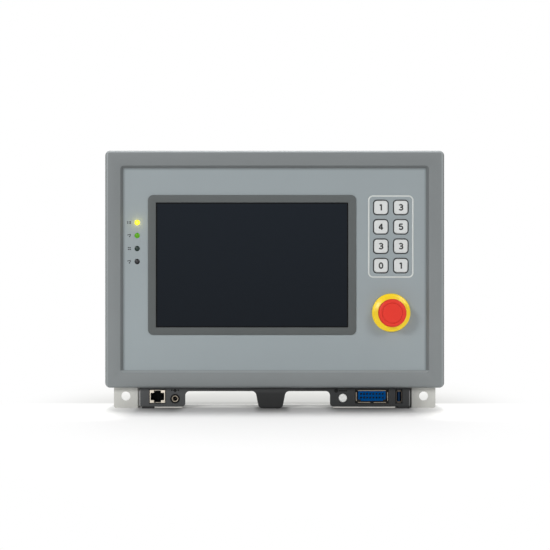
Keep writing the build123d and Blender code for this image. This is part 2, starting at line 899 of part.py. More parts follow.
with BuildPart() as port_tray:
    with BuildSketch(facing(tray_front_depth)) as tray_outline:
        strip_height = tray_top - strip_lower_edge
        with Locations((0, tray_top - strip_height / 2)):
            Rectangle(tray_width, strip_height)
        with BuildLine():
            add(foot_outline(0, foot_lower_edge, strip_lower_edge))
        make_face()
        fillet(corners_at(tray_outline, foot_lower_edge), foot_corner)
        fillet(corners_at(tray_outline, strip_lower_edge)[1:3], strip_blend)
    extrude(amount=-(tray_back_depth - tray_front_depth))
    for side, inner_x in ((-1, left_pod_inner), (1, right_pod_inner)):
        reach_x = inner_x - side * 2 * strip_blend
        front_outline = pod_outline(tray_front_depth, side, inner_x, reach_x)
        back_outline = pod_outline(tray_back_depth, side, inner_x + side * pod_draft, reach_x)
        loft([front_outline.face(), back_outline.face()], ruled=True)
    block(
        (-tray_width / 2, tray_width / 2),
        (tray_front_depth, frame_depth + seat_gap),
        (frame_lower_edge, tray_top),
        mode=Mode.SUBTRACT,
    )
    block(left_cavity, cavity_depths, (pod_floor_top, tray_top), mode=Mode.SUBTRACT)
    block(right_cavity, cavity_depths, (pod_floor_top, tray_top), mode=Mode.SUBTRACT)
    with BuildSketch(facing(tray_front_depth + foot_wall)):
        with BuildLine():
            add(foot_outline(foot_wall, foot_lower_edge + foot_wall, tray_top))
        make_face()
    extrude(amount=-(tray_back_depth - tray_front_depth - 2 * foot_wall), mode=Mode.SUBTRACT)
    for start, end, count in (
        (left_pod_inner, foot_x - foot_top_width / 2, 4),
        (foot_x + foot_top_width / 2, right_pod_inner, 3),
    ):
        pitch = (end - start) / count
        for place in range(count):
            pocket_x = (start + pitch * place + pocket_rib, start + pitch * (place + 1) - pocket_rib / 2)
            block(
                pocket_x,
                (frame_depth + pocket_front_wall, tray_back_depth - tray_wall),
                (strip_lower_edge + pocket_floor, tray_top),
                mode=Mode.SUBTRACT,
            )
    # Windows for the sockets and the push button
    for socket_x, socket_width in ((network_x, network_width), (io_x, io_width), (usb_x, usb_width)):
        slab(
            tray_front_depth,
            tray_wall,
            socket_width + 2 * socket_gap,
            socket_height + 2 * socket_gap,
            (socket_x, socket_rise),
            mode=Mode.SUBTRACT,
        )
    power_hole = power_nose_radius + seat_gap
    rod(tray_front_depth, tray_wall, power_hole, (power_x, power_rise), mode=Mode.SUBTRACT)
    button_hole = button_radius + slide_gap
    rod(tray_front_depth, tray_wall, button_hole, (button_x, button_rise), mode=Mode.SUBTRACT)
save(port_tray, "port_tray")

# Rubber pads under the outer ends of the pods and under the centre foot
left_pad_x = -(tray_width / 2 - pad_inset_left - pad_width / 2)
right_pad_x = tray_width / 2 - pad_inset_right - pad_width / 2
pad_depths = (pad_front_depth, tray_back_depth - pad_back_inset - pad_length)
with BuildPart() as rubber_feet:
    with BuildSketch(Plane.XY):
        for pad_depth in pad_depths:
            pad_y = frame_front + pad_depth + pad_length / 2
            with Locations((left_pad_x, pad_y), (right_pad_x, pad_y)):
                Rectangle(pad_width, pad_length)
    extrude(amount=pod_lower_edge)
    with BuildSketch(Plane.XY):
        with Locations((foot_x, frame_front + (tray_front_depth + tray_back_depth) / 2)):
            Rectangle(foot_pad_width, foot_pad_length)
    extrude(amount=foot_lower_edge)
save(rubber_feet, "rubber_feet")


# Brackets: one sheet each, with an ear that faces forwards, a side leg and a leg under the pod
def make_bracket(name, side, pod_width, pad_x):
    """One folded bracket; side is -1 at the left and 1 at the right."""
    half = bracket_sheet / 2
    leg_x = side * (tray_width / 2 + half)
    leg_end = side * (tray_width / 2 - pod_width + bracket_short)
    leg_front = bracket_front_depth + bracket_sheet + bracket_relief
    lower = pod_lower_edge - bracket_sheet
    upper = frame_lower_edge - bracket_top_gap
    mid_bend = bracket_bend + half
    with BuildPart() as bracket:
        with BuildSketch(facing(leg_front)):
            with BuildLine():
                FilletPolyline(
                    (leg_x, upper),
                    (leg_x, lower + half),
                    (leg_end, lower + half),
                    radius=mid_bend,
                )
            trace(line_width=bracket_sheet)
        extrude(amount=-(bracket_back_depth - leg_front))
        with BuildSketch(Plane((0, frame_front, lower))):
            with BuildLine():
                FilletPolyline(
                    (side * ear_reach, bracket_front_depth + half),
                    (leg_x, bracket_front_depth + half),
                    (leg_x, leg_front),
                    radius=mid_bend,
                )
            trace(line_width=bracket_sheet)
        extrude(amount=upper - lower)
        ear_corners = bracket.edges().filter_by(Axis.Y).sort_by(Axis.X, reverse=side > 0)[:2]
        fillet(ear_corners.sort_by(Axis.Z)[0], ear_corner)
        bolt_hole = (side * bolt_spacing / 2, bolt_rise)
        rod(bracket_front_depth, bracket_sheet, bolt_hole_radius, bolt_hole, mode=Mode.SUBTRACT)
        for pad_depth in pad_depths:
            notch_x = (pad_x - pad_width / 2 - seat_gap, pad_x + pad_width / 2 + seat_gap)
            notch_depths = (pad_depth - seat_gap, pad_depth + pad_length + seat_gap)
            block(notch_x, notch_depths, (0, pod_lower_edge), mode=Mode.SUBTRACT)
    save(bracket, name)


make_bracket("bracket_left", -1, left_pod_width, left_pad_x)
make_bracket("bracket_right", 1, right_pod_width, right_pad_x)

# Boards in the pods: they lie on the pod floors and carry the sockets
for name, cavity in (("io_board_left", left_cavity), ("io_board_right", right_cavity)):
    with BuildPart() as port_board:
        block(
            (cavity[0] + seat_gap, cavity[1] - seat_gap),
            (cavity_depths[0] + seat_gap, cavity_depths[1] - seat_gap),
            (pod_floor_top, port_board_top),
        )
    save(port_board, name)

# Network socket: shield with a plus-shaped mouth, insert behind it, and contacts in the upper arm
network = (network_x, socket_rise)
network_height = 2 * (socket_rise - port_board_top)
insert_width = network_width - 2 * network_wall
insert_height = network_height - 2 * network_wall
insert_depth = socket_depth + network_wall
with BuildPart() as rj45_shield:
    slab(socket_depth, network_length, network_width, network_height, network)
    slab(
        insert_depth,
        network_length - network_wall,
        insert_width,
        insert_height,
        network,
        mode=Mode.SUBTRACT,
    )
    slab(socket_depth, network_wall, mouth_width, mouth_height, network, mode=Mode.SUBTRACT)
    slab(
        socket_depth,
        shield_notch_depth,
        mouth_arm_width,
        network_height,
        network,
        mode=Mode.SUBTRACT,
    )
save(rj45_shield, "rj45_shield")

with BuildPart() as rj45_insert:
    slab(insert_depth, network_length - network_wall, insert_width, insert_height, network)
    for width, height in (
        (mouth_cavity_width, mouth_cavity_height),
        (mouth_cavity_arm_width, mouth_cavity_arm_height),
    ):
        slab(insert_depth, mouth_length, width, height, network, mode=Mode.SUBTRACT)
save(rj45_insert, "rj45_insert")

with BuildPart() as rj45_contacts:
    contact_rise = socket_rise + mouth_cavity_height / 2 + network_contact_side * 2
    with BuildSketch(facing(insert_depth + network_contact_setback)):
        with Locations((network_x, contact_rise)):
            with GridLocations(network_contact_pitch, 0, network_contacts, 1):
                Rectangle(network_contact_side, network_contact_side)
    extrude(amount=-(mouth_length - network_contact_setback))
save(rj45_contacts, "rj45_contacts")

# Power socket: round nose and block, with a sleeve and a centre pin
power = (power_x, power_rise)
nose_back = cavity_depths[0] + seat_gap
block_top = 2 * power_rise - port_board_top
bore_length = nose_back + power_block_length - power_block_back - socket_depth
with BuildPart() as dc_jack_body:
    rod(socket_depth, nose_back - socket_depth, power_nose_radius, power)
    block(
        (power_x - power_block_width / 2, power_x + power_block_width / 2),
        (nose_back, nose_back + power_block_length),
        (port_board_top, block_top),
    )
    rod(socket_depth, bore_length, power_bore_radius, power, mode=Mode.SUBTRACT)
save(dc_jack_body, "dc_jack_body")

with BuildPart() as dc_jack_contacts:
    bore_floor = socket_depth + bore_length
    rod(bore_floor - power_sleeve_length, power_sleeve_length, power_sleeve_outer, power)
    rod(bore_floor - power_sleeve_length, power_sleeve_length, power_sleeve_inner, power, mode=Mode.SUBTRACT)
    with BuildSketch(facing(bore_floor - power_pin_length)):
        with Locations(power):
            RegularPolygon(power_pin_radius, 6)
    extrude(amount=-power_pin_length)
save(dc_jack_contacts, "dc_jack_contacts")

# Service push button and its switch
button = (button_x, button_rise)
button_flange_depth = tray_front_depth + tray_wall + slide_gap
button_flange_back = button_flange_depth + button_flange_thickness
switch_depth = button_flange_back + button_travel + slide_gap
with BuildPart() as service_button:
    turned(
        button,
        (tray_front_depth - button_proud, 0),
        (tray_front_depth - button_proud, button_radius - button_bevel),
        (tray_front_depth - button_proud + button_bevel, button_radius),
        (button_flange_depth, button_radius),
        (button_flange_depth, 0),
    )
    slab(button_flange_depth, button_flange_thickness, button_flange_side, button_flange_side, button)
    plunger_length = switch_depth - button_flange_back + button_plunger_bite
    slab(button_flange_back, plunger_length, plunger_side, plunger_side, button)
save(service_button, "service_button")

with BuildPart() as service_switch:
    block(
        (button_x - button_switch_width / 2, button_x + button_switch_width / 2),
        (switch_depth, switch_depth + button_switch_length),
        (port_board_top, button_rise + button_switch_width / 2),
    )
    slab(
        switch_depth,
        button_plunger_bite + button_travel + slide_gap,
        plunger_side + 2 * slide_gap,
        plunger_side + 2 * slide_gap,
        button,
        mode=Mode.SUBTRACT,
    )
save(service_switch, "service_switch")

# Two-row connector: a metal shell round a blue body with sixteen square holes
io = (io_x, socket_rise)
io_height = network_height
io_inner_width = io_width - 2 * io_wall
io_inner_height = io_height - 2 * io_wall
io_body_depth = socket_depth + io_body_recess
io_body = (io_x, socket_rise + io_body_rise)
io_holes = (io_x, socket_rise + io_body_rise + io_hole_rise)
with BuildPart() as io_shell:
    slab(socket_depth, io_length, io_width, io_height, io)
    slab(socket_depth, io_length, io_inner_width, io_inner_height, io, mode=Mode.SUBTRACT)
    slab(
        socket_depth,
        io_shell_notch_depth,
        io_shell_notch,
        io_wall,
        (io_x, socket_rise - io_height / 2 + io_wall / 2),
        mode=Mode.SUBTRACT,
    )
    with BuildSketch(facing(socket_depth)):
        with Locations(io):
            with GridLocations(io_width - io_corner_notch, io_height - io_corner_notch, 2, 2):
                Rectangle(io_corner_notch, io_corner_notch)
    extrude(amount=-io_shell_notch_depth, mode=Mode.SUBTRACT)
save(io_shell, "io_shell")

with BuildPart() as io_insulator:
    with BuildSketch(facing(io_body_depth)):
        with Locations(io_body):
            Rectangle(io_body_width, io_body_height)
        notch_x = (io_body_width - io_body_notch_width) / 2
        notch_drop = (io_body_height - io_body_notch_height) / 2
        with Locations((io_x, socket_rise + io_body_rise - notch_drop)):
            with GridLocations(2 * notch_x, 0, 2, 1):
                Rectangle(io_body_notch_width, io_body_notch_height, mode=Mode.SUBTRACT)
    extrude(amount=-io_collar_depth)
    slab(
        io_body_depth + io_collar_depth,
        io_length - io_body_recess - io_collar_depth,
        io_inner_width,
        io_inner_height,
        io,
    )
    with BuildSketch(facing(io_body_depth)):
        with Locations(io_holes):
            with GridLocations(io_pitch_x, io_pitch_z, io_columns, io_rows):
                Rectangle(io_hole_side, io_hole_side)
    extrude(amount=-io_length, mode=Mode.SUBTRACT)
save(io_insulator, "io_insulator")

with BuildPart() as io_contacts:
    with BuildSketch(facing(io_body_depth + io_contact_recess)):
        with Locations(io_holes):
            with GridLocations(io_pitch_x, io_pitch_z, io_columns, io_rows):
                Rectangle(io_contact_side, io_contact_side)
    extrude(amount=-(io_length - io_body_recess - io_contact_recess + io_contact_tail))
save(io_contacts, "io_contacts")

# Upright USB socket
usb = (usb_x, socket_rise)
with BuildPart() as usb_shell:
    slab(socket_depth, usb_length, usb_width, network_height, usb)
    chamfer(usb_shell.edges().filter_by(Axis.Y), usb_corner)
    slab(
        socket_depth,
        usb_length,
        usb_width - 2 * usb_wall,
        network_height - 2 * (usb_wall + usb_corner),
        usb,
        mode=Mode.SUBTRACT,
    )
save(usb_shell, "usb_shell")

with BuildPart() as usb_tongue:
    tongue_length = usb_length - usb_tongue_recess
    slab(socket_depth + usb_tongue_recess, tongue_length, usb_tongue_width, usb_tongue_height, usb)
    slab(
        socket_depth + usb_length - usb_root_length,
        usb_root_length,
        usb_width - 2 * usb_wall,
        network_height - 2 * (usb_wall + usb_corner),
        usb,
    )
save(usb_tongue, "usb_tongue")
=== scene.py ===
"""An operator panel: framed screen, eight keys, four status lamps and an emergency stop, on a port
tray with two folded steel brackets. Sizes are in millimetres and become metres in the meshes.
A depth is counted backwards from the front face of the frame."""

import math

import bmesh
import bpy
import numpy as np
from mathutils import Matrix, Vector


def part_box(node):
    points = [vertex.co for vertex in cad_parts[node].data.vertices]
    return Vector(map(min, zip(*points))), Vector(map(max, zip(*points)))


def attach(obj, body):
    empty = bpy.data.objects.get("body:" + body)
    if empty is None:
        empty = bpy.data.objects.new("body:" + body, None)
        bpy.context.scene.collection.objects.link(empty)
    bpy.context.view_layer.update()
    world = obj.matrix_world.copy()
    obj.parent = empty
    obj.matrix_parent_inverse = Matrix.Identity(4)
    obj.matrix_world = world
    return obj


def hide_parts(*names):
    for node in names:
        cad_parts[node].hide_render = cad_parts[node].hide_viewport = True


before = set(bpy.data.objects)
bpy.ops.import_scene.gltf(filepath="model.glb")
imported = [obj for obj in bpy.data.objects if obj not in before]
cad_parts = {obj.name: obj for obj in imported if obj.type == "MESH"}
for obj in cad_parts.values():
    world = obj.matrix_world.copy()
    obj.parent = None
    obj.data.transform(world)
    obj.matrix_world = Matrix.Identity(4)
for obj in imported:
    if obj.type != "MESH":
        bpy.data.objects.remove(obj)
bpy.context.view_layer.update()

MM = 0.001
FRAME_FRONT = -18.9
BODY = "housing"

FRAME_SIZE = (340.0, 237.8)
FRAME_CORNER = 5.0
FRAME_EDGE = 2.75
FRAME_DEPTH = 22.0
FRAME_MID = (0.0, 140.1)
OPENING_SIZE = (304.4, 202.8)
OPENING_CORNER = 1.2
OPENING_EDGE = 2.9
OPENING_HALF = (OPENING_SIZE[0] / 2 * MM, OPENING_SIZE[1] / 2 * MM)
FASCIA_DEPTH = 3.2
FASCIA_BACK = 5.2

SCREEN_MID = (-22.7, 144.35)
SURROUND_SIZE = (208.7, 140.2)
GLASS_SIZE = (193.0, 125.3)

KEYPAD_MID = (116.5, 172.9)
KEY_PITCH = (20.0, 19.46)
KEY_SIZE = (13.6, 13.5)
KEY_CORNER = 3.0
KEY_FRONT = 1.2
KEY_EDGE = 1.0
KEY_HOLE = (15.8, 15.7)
KEY_HOLE_CORNER = 4.0
TRIM_SIZE = (45.7, 82.8)
TRIM_CORNER = 5.0
TRIM_BAND = 1.5
DIGITS = (("1", "3"), ("4", "5"), ("3", "3"), ("0", "1"))

LAMP_X = -138.0
LAMP_TOP = 186.95
LAMP_PITCH = 13.05
LAMP_RADIUS = 2.6
DOME_ANGLE = math.radians(34)
DOME_BASE = FASCIA_DEPTH - 0.8

STOP_MID = (116.75, 96.55)
RING_RADIUS = 19.2
RING_LIP = 13.4
HEAD_FRONT = -14.2
HEAD_BACK = -7.8
HEAD_RADIUS = 14.0
HEAD_SHOULDER = HEAD_FRONT + 1.9
RECESS_RADIUS = 10.8
DISC_RADIUS = 9.9

JACK_MID = (-100.2, 9.85)
JACK_PIN_REACH = 2.4
BUTTON_MID = (68.5, 10.6)
BUTTON_RADIUS = 4.1
CONNECTOR_MID = (97.7, 12.1)
CONTACT_PITCH = (3.12, 3.7)
CONTACT_HOLE = 1.85
POD_FRONT = 6.0
POD_MARK_Z = 17.9
LAMP_MARK_X = -146.2
SCREW_SPOT = (160.0, 108.9)
SCREW_HEAD = (51.7, 49.2)
PAD_ENDS = (("bracket_left", -120.6), ("bracket_right", 121.2))

SKY_FRONT = 0.12
SKY_BACK = 0.82
SUN_LEAN = math.radians(11.0)
SUN_ANGLE = 0.25
SUN_POWER = 2.6
LEFT_PLACE = (-0.95, -1.2, 0.72)
LEFT_POWER = 11.5
RIGHT_PLACE = (0.78, -1.05, 0.72)
RIGHT_POWER = 5.7
LAMP_SIDE = 0.4
BACK_POWER = 14.0
CAMERA_PLACE = (0.0003, -1.3189, 0.1343)
FLOOR_REACH = 6.0


def rounded_outline(width, height, corner, steps=8):
    """Points round a rectangle with rounded corners, anticlockwise seen from the front: each corner's
    centre plus corner * (cos, sin) of the angles of its quarter."""
    corner = min(max(corner, 0.02), width / 2, height / 2)
    turn = np.linspace(0, math.pi / 2, steps + 1)
    quarters = []
    for quadrant, (sx, sz) in enumerate(((1, 1), (-1, 1), (-1, -1), (1, -1))):
        angle = turn + quadrant * math.pi / 2
        x = sx * (width / 2 - corner) + corner * np.cos(angle)
        z = sz * (height / 2 - corner) + corner * np.sin(angle)
        quarters.append(np.stack([x, z], axis=1))
    return np.concatenate(quarters)


def circle_outline(radius, steps=96):
    """Points round a circle, anticlockwise seen from the front: radius * (cos, sin) of even angles."""
    angle = np.arange(steps) * 2 * math.pi / steps
    return np.stack([radius * np.cos(angle), radius * np.sin(angle)], axis=1)


def hexagon_outline(radius, steps=96):
    """Points round a hexagon: the distance out is the flat's distance / cos(angle from the flat)."""
    angle = np.arange(steps) * 2 * math.pi / steps
    off = (angle + math.pi / 6) % (math.pi / 3) - math.pi / 6
    reach = radius * math.cos(math.pi / 6) / np.cos(off)
    return np.stack([reach * np.cos(angle), reach * np.sin(angle)], axis=1)


def quarter(start, end, bulge, steps=5):
    """A quarter of an ellipse between two (inset, depth) points: it leaves start along the depth if
    bulge is "depth", and along the inset if it is "inset"."""
    turn = np.linspace(0, math.pi / 2, steps + 1)
    rise, run = np.sin(turn), 1 - np.cos(turn)
    if bulge == "inset":
        rise, run = run, rise
    inset = start[0] + (end[0] - start[0]) * run
    depth = start[1] + (end[1] - start[1]) * rise
    return list(zip(inset, depth))


def turned_quarter(radius, start, end, bulge, steps, first=1):
    """A quarter for a turned profile, as (depth, radius) points: each radius is the given one less the
    inset. The first point is left out where the profile already has it."""
    return [(depth, radius - inset) for inset, depth in quarter(start, end, bulge, steps)[first:]]


def carried(size, corner, profile, steps=8):
    """Stations of a profile of (inset, depth) carried round a rounded rectangle: each is the
    rectangle made smaller by twice the inset, its corner by the inset."""
    return [
        (rounded_outline(size[0] - 2 * inset, size[1] - 2 * inset, corner - inset, steps), depth)
        for inset, depth in profile
    ]


def turned(profile, steps=96):
    """Stations of a body of revolution: one circle for each (depth, radius)."""
    return [(circle_outline(max(radius, 1e-4), steps), depth) for depth, radius in profile]


def loft_arrays(stations, middle, closed=False):
    """Vertices and faces of a skin through outlines at their depths. A point is
    (middle x + outline x, frame front + depth, middle z + outline z), and quads join each outline to
    the next. A closed loft joins the last to the first; an open one is capped at both ends."""
    rows = len(stations)
    around = len(stations[0][0])
    outlines = np.stack([outline for outline, _ in stations])
    depths = np.array([depth for _, depth in stations])
    points = np.empty((rows, around, 3))
    points[..., 0] = middle[0] + outlines[..., 0]
    points[..., 1] = FRAME_FRONT + depths[:, None]
    points[..., 2] = middle[1] + outlines[..., 1]
    index = np.arange(rows * around).reshape(rows, around)
    lower = index if closed else index[:-1]
    upper = np.roll(index, -1, axis=0) if closed else index[1:]
    quads = np.stack([lower, np.roll(lower, -1, axis=1), np.roll(upper, -1, axis=1), upper], axis=-1)
    faces = quads.reshape(-1, 4).tolist()
    if not closed:
        faces.append(index[0][::-1].tolist())
        faces.append(index[-1].tolist())
    return points.reshape(-1, 3) * MM, faces


def band_arrays(path, width, front, back, middle, closed=False):
    """A flat band along a path of (x, z) points. At each point its section is the rectangle between
    point + normal * width / 2 and point - normal * width / 2, from the front depth to the back one;
    the normal is the path's direction turned by a quarter."""
    along = np.roll(path, -1, axis=0) - np.roll(path, 1, axis=0)
    if not closed:
        along[0] = path[1] - path[0]
        along[-1] = path[-1] - path[-2]
    normal = np.stack([-along[:, 1], along[:, 0]], axis=1)
    normal *= width / 2 / np.linalg.norm(normal, axis=1, keepdims=True)
    flat = np.stack([path + normal, path - normal, path - normal, path + normal], axis=1)
    points = np.empty((len(path), 4, 3))
    points[..., 0] = middle[0] + flat[..., 0]
    points[..., 1] = FRAME_FRONT + np.array([front, front, back, back])
    points[..., 2] = middle[1] + flat[..., 1]
    index = np.arange(len(path) * 4).reshape(-1, 4)
    lower = index if closed else index[:-1]
    upper = np.roll(index, -1, axis=0) if closed else index[1:]
    quads = np.stack([lower, np.roll(lower, -1, axis=1), np.roll(upper, -1, axis=1), upper], axis=-1)
    faces = quads.reshape(-1, 4).tolist()
    if not closed:
        faces.append(index[0][::-1].tolist())
        faces.append(index[-1].tolist())
    return points.reshape(-1, 3) * MM, faces


def arc(middle, reach, start, end, steps=20):
    """Points of an ellipse's arc: middle + reach * (cos, sin) of even angles, given in degrees."""
    angle = np.radians(np.linspace(start, end, steps))
    return np.stack([middle[0] + reach[0] * np.cos(angle), middle[1] + reach[1] * np.sin(angle)], axis=1)


def plate_mesh(name, outlines, front, back):
    """A flat plate between two depths. The first outline is its edge and the others are its holes:
    walls join each outline at both depths, and the two faces are filled between the outlines."""
    work = bmesh.new()
    shell = bpy.data.meshes.new(name)
    points, faces, start = [], [], 0
    for outline in outlines:
        walls, quads = loft_arrays([(outline, front), (outline, back)], (0.0, 0.0))
        points.append(walls)
        faces += [[start + i for i in quad] for quad in quads[:-2]]
        start += len(walls)
    shell.from_pydata(np.concatenate(points).tolist(), [], faces)
    work.from_mesh(shell)
    middle = (FRAME_FRONT + (front + back) / 2) * MM
    rims = [edge for edge in work.edges if edge.is_boundary]
    for ahead in (True, False):
        rim = [edge for edge in rims if (edge.verts[0].co.y < middle) == ahead]
        bmesh.ops.triangle_fill(work, edges=rim, use_beauty=True)
    bmesh.ops.recalc_face_normals(work, faces=work.faces)
    work.to_mesh(shell)
    work.free()
    return shell


def make_piece(name, parts, finish, body=BODY, stands_for=(), sharp=35.0, bevel=0.0):
    """One object from several (vertices, faces): merged where they meet, smooth where they curve."""
    points = []
    faces = []
    start = 0
    for part_points, part_faces in parts:
        points.append(np.asarray(part_points))
        faces += [[start + i for i in face] for face in part_faces]
        start += len(part_points)
    mesh = bpy.data.meshes.new(name)
    mesh.from_pydata(np.concatenate(points).tolist(), [], faces)
    work = bmesh.new()
    work.from_mesh(mesh)
    bmesh.ops.remove_doubles(work, verts=work.verts, dist=2e-7)
    bmesh.ops.dissolve_degenerate(work, edges=work.edges, dist=1e-8)
    if bevel:
        bmesh.ops.dissolve_limit(work, angle_limit=math.radians(0.4), verts=work.verts, edges=work.edges)
    work.to_mesh(mesh)
    work.free()
    return show(name, mesh, finish, body, stands_for, sharp, bevel)


def show(name, mesh, finish, body=BODY, stands_for=(), sharp=35.0, bevel=0.0):
    """Put a finished mesh in the scene as a piece that rides on a body."""
    mesh.polygons.foreach_set("use_smooth", np.ones(len(mesh.polygons), dtype=bool))
    mesh.set_sharp_from_angle(angle=math.radians(sharp))
    mesh.materials.clear()
    mesh.materials.append(finish.material)
    piece = bpy.data.objects.new(name, mesh)
    bpy.context.scene.collection.objects.link(piece)
    if bevel:
        eased = piece.modifiers.new("eased_edges", "BEVEL")
        eased.width = bevel * MM
        eased.segments = 2
        eased.limit_method = "ANGLE"
        eased.angle_limit = math.radians(40)
        eased.harden_normals = True
    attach(piece, body)
    if stands_for:
        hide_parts(*stands_for)
    return piece


def ease(node, finish, bevel=0.0, body=BODY, sharp=30.0):
    """A piece of the model with its triangles merged, its curves smooth and its edges eased."""
    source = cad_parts[node].data
    count = len(source.vertices)
    points = np.empty(count * 3, dtype=np.float32)
    source.vertices.foreach_get("co", points)
    corners = np.empty(len(source.polygons) * 3, dtype=np.int32)
    source.polygons.foreach_get("vertices", corners)
    return make_piece(
        f"{node}_eased",
        [(points.reshape(-1, 3).astype(float), corners.reshape(-1, 3).tolist())],
        finish,
        body,
        (node,),
        sharp,
        bevel,
    )


class Signal:
    """One output of a finish's nodes, with the arithmetic of numbers."""

    def __init__(self, finish, socket):
        self.finish = finish
        self.socket = socket

    def calc(self, operation, first, second=None):
        values = {0: first}
        if second is not None:
            values[1] = second
        return self.finish.node("ShaderNodeMath", {"operation": operation}, values)

    def __add__(self, other):
        return self.calc("ADD", self, other)

    __radd__ = __add__

    def __sub__(self, other):
        return self.calc("SUBTRACT", self, other)

    def __rsub__(self, other):
        return self.calc("SUBTRACT", other, self)

    def __mul__(self, other):
        return self.calc("MULTIPLY", self, other)

    __rmul__ = __mul__

    def __truediv__(self, other):
        return self.calc("DIVIDE", self, other)

    def __abs__(self):
        return self.calc("ABSOLUTE", self)

    def __pow__(self, other):
        return self.calc("POWER", self, other)

    def above(self, level, softness):
        """0 below a level and 1 above it, with a soft step between."""
        settings = {"interpolation_type": "SMOOTHSTEP"}
        values = {0: self, 1: level - softness, 2: level + softness, 3: 0.0, 4: 1.0}
        return self.finish.node("ShaderNodeMapRange", settings, values)

    def most(self, other):
        """The larger of two."""
        return self.calc("MAXIMUM", self, other)


class Finish:
    """A material under construction, on one principled shader."""

    def __init__(self, name, colour, roughness, **constants):
        self.material = bpy.data.materials.new(name)
        self.material.use_nodes = True
        self.tree = self.material.node_tree
        self.surface = self.tree.nodes["Principled BSDF"]
        self.surface.inputs["Base Color"].default_value = (*colour, 1.0)
        self.surface.inputs["Roughness"].default_value = roughness
        for name, value in constants.items():
            socket = name.replace("_", " ").title().replace("Ior", "IOR")
            self.surface.inputs[socket].default_value = value

    def node(self, kind, settings=None, values=None, output=0):
        """Any node: its settings first, then the values or links of its sockets."""
        made = self.tree.nodes.new(kind)
        for name, value in (settings or {}).items():
            if name == "stops":
                ramp = made.color_ramp
                while len(ramp.elements) < len(value):
                    ramp.elements.new(0.5)
                for element, (position, colour) in zip(ramp.elements, value):
                    element.position = position
                    element.color = (*colour, 1.0)
            else:
                setattr(made, name, value)
        for name, value in (values or {}).items():
            self.feed(made.inputs[name], value)
        return Signal(self, made.outputs[output])

    def feed(self, socket, value):
        if isinstance(value, Signal):
            self.tree.links.new(value.socket, socket)
        else:
            socket.default_value = value

    def set(self, **inputs):
        """Feed the shader's sockets with what varies over the surface."""
        for name, value in inputs.items():
            self.feed(self.surface.inputs[name.replace("_", " ").title()], value)

    def colour(self):
        """The colour that feeds the shader so far."""
        return Signal(self, self.surface.inputs["Base Color"].links[0].from_socket)

    def place(self):
        return self.node("ShaderNodeTexCoord", output=3)

    def axes(self):
        """The x, y and z of a point, in metres."""
        split = self.node("ShaderNodeSeparateXYZ", values={0: self.place()})
        return [Signal(self, split.socket.node.outputs[i]) for i in range(3)]

    def speckle(self, size, detail=2.0, stretch=(1.0, 1.0, 1.0), roughness=0.5):
        """Noise with features of about a size in millimetres, stretched along the axes."""
        scaled = self.node("ShaderNodeMapping", values={0: self.place(), 3: stretch})
        values = {"Vector": scaled, "Scale": 1 / (size * MM), "Detail": detail, "Roughness": roughness}
        return self.node("ShaderNodeTexNoise", values=values)

    def mix(self, share, first, second):
        """A colour that goes from first to second."""
        values = {0: share, 6: first, 7: second}
        return self.node("ShaderNodeMix", {"data_type": "RGBA"}, values, output=2)

    def bump(self, height, depth, strength=1.0):
        """Feed the normal from a height; depth is in millimetres."""
        values = {"Height": height, "Distance": depth * MM, "Strength": strength}
        self.set(Normal=self.node("ShaderNodeBump", values=values))


def shade(colour, factor):
    """A colour made lighter or darker, as red, green, blue and 1."""
    return tuple(min(1.0, channel * factor) for channel in colour) + (1.0,)


def moulded(name, colour, roughness=0.5, grain=0.5, depth=0.03, spread=0.05, **constants):
    """Moulded plastic: a fine grain in the height, slow clouds in the colour and the gloss."""
    finish = Finish(name, colour, roughness, **constants)
    clouds = finish.speckle(38.0, 3.0)
    grain_height = finish.speckle(grain, 2.0, roughness=0.6)
    tint = clouds * 0.7 + grain_height * 0.3
    finish.set(Base_Color=finish.mix(tint, shade(colour, 1 - spread), shade(colour, 1 + spread)))
    finish.set(Roughness=roughness + (clouds - 0.5) * 0.12 + (grain_height - 0.5) * 0.08)
    finish.bump(grain_height, depth)
    return finish


def rolled_steel(name, colour, roughness, stretch, depth=0.01, metallic=1.0):
    """Rolled sheet: long thin streaks along one axis, with faint cloudy plating over them."""
    finish = Finish(name, colour, roughness, metallic=metallic)
    streaks = finish.speckle(6.0, 4.0, stretch, 0.65)
    clouds = finish.speckle(9.0, 3.0)
    tint = streaks * 0.6 + clouds * 0.4
    finish.set(Base_Color=finish.mix(tint, shade(colour, 0.9), shade(colour, 1.08)))
    finish.set(Roughness=roughness + (streaks - 0.5) * 0.22)
    finish.bump(streaks, depth)
    return finish


def tinted(finish, factor):
    """Multiply a finish's colour by a factor, given as a colour."""
    settings = {"data_type": "RGBA", "blend_type": "MULTIPLY"}
    values = {0: 1.0, 6: finish.colour(), 7: factor}
    finish.set(Base_Color=finish.node("ShaderNodeMix", settings, values, output=2))


def grey(level):
    """A grey as red, green, blue and 1."""
    return (level, level, level, 1.0)


def beyond(place, low, high, margin, softness):
    """0 between two places, each moved outwards by a margin, and 1 beyond them."""
    return abs(place - (low + high) / 2).above((high - low) / 2 + margin, softness)


def painted_shadow_by_the_bend(finish):
    """Paint shade on the right ear towards its bend, where the pod shadows it: first slowly, and then at
    the bend itself.
    """
    x, _, _ = finish.axes()
    near = 1 - x.above(0.146, 0.01)
    bend = 1 - x.above(0.1378, 0.0006)
    right = x.above(0.1, 0.001)
    factor = finish.mix(near * right, grey(1.0), grey(0.72))
    tinted(finish, finish.mix(bend * right, factor, grey(0.3)))


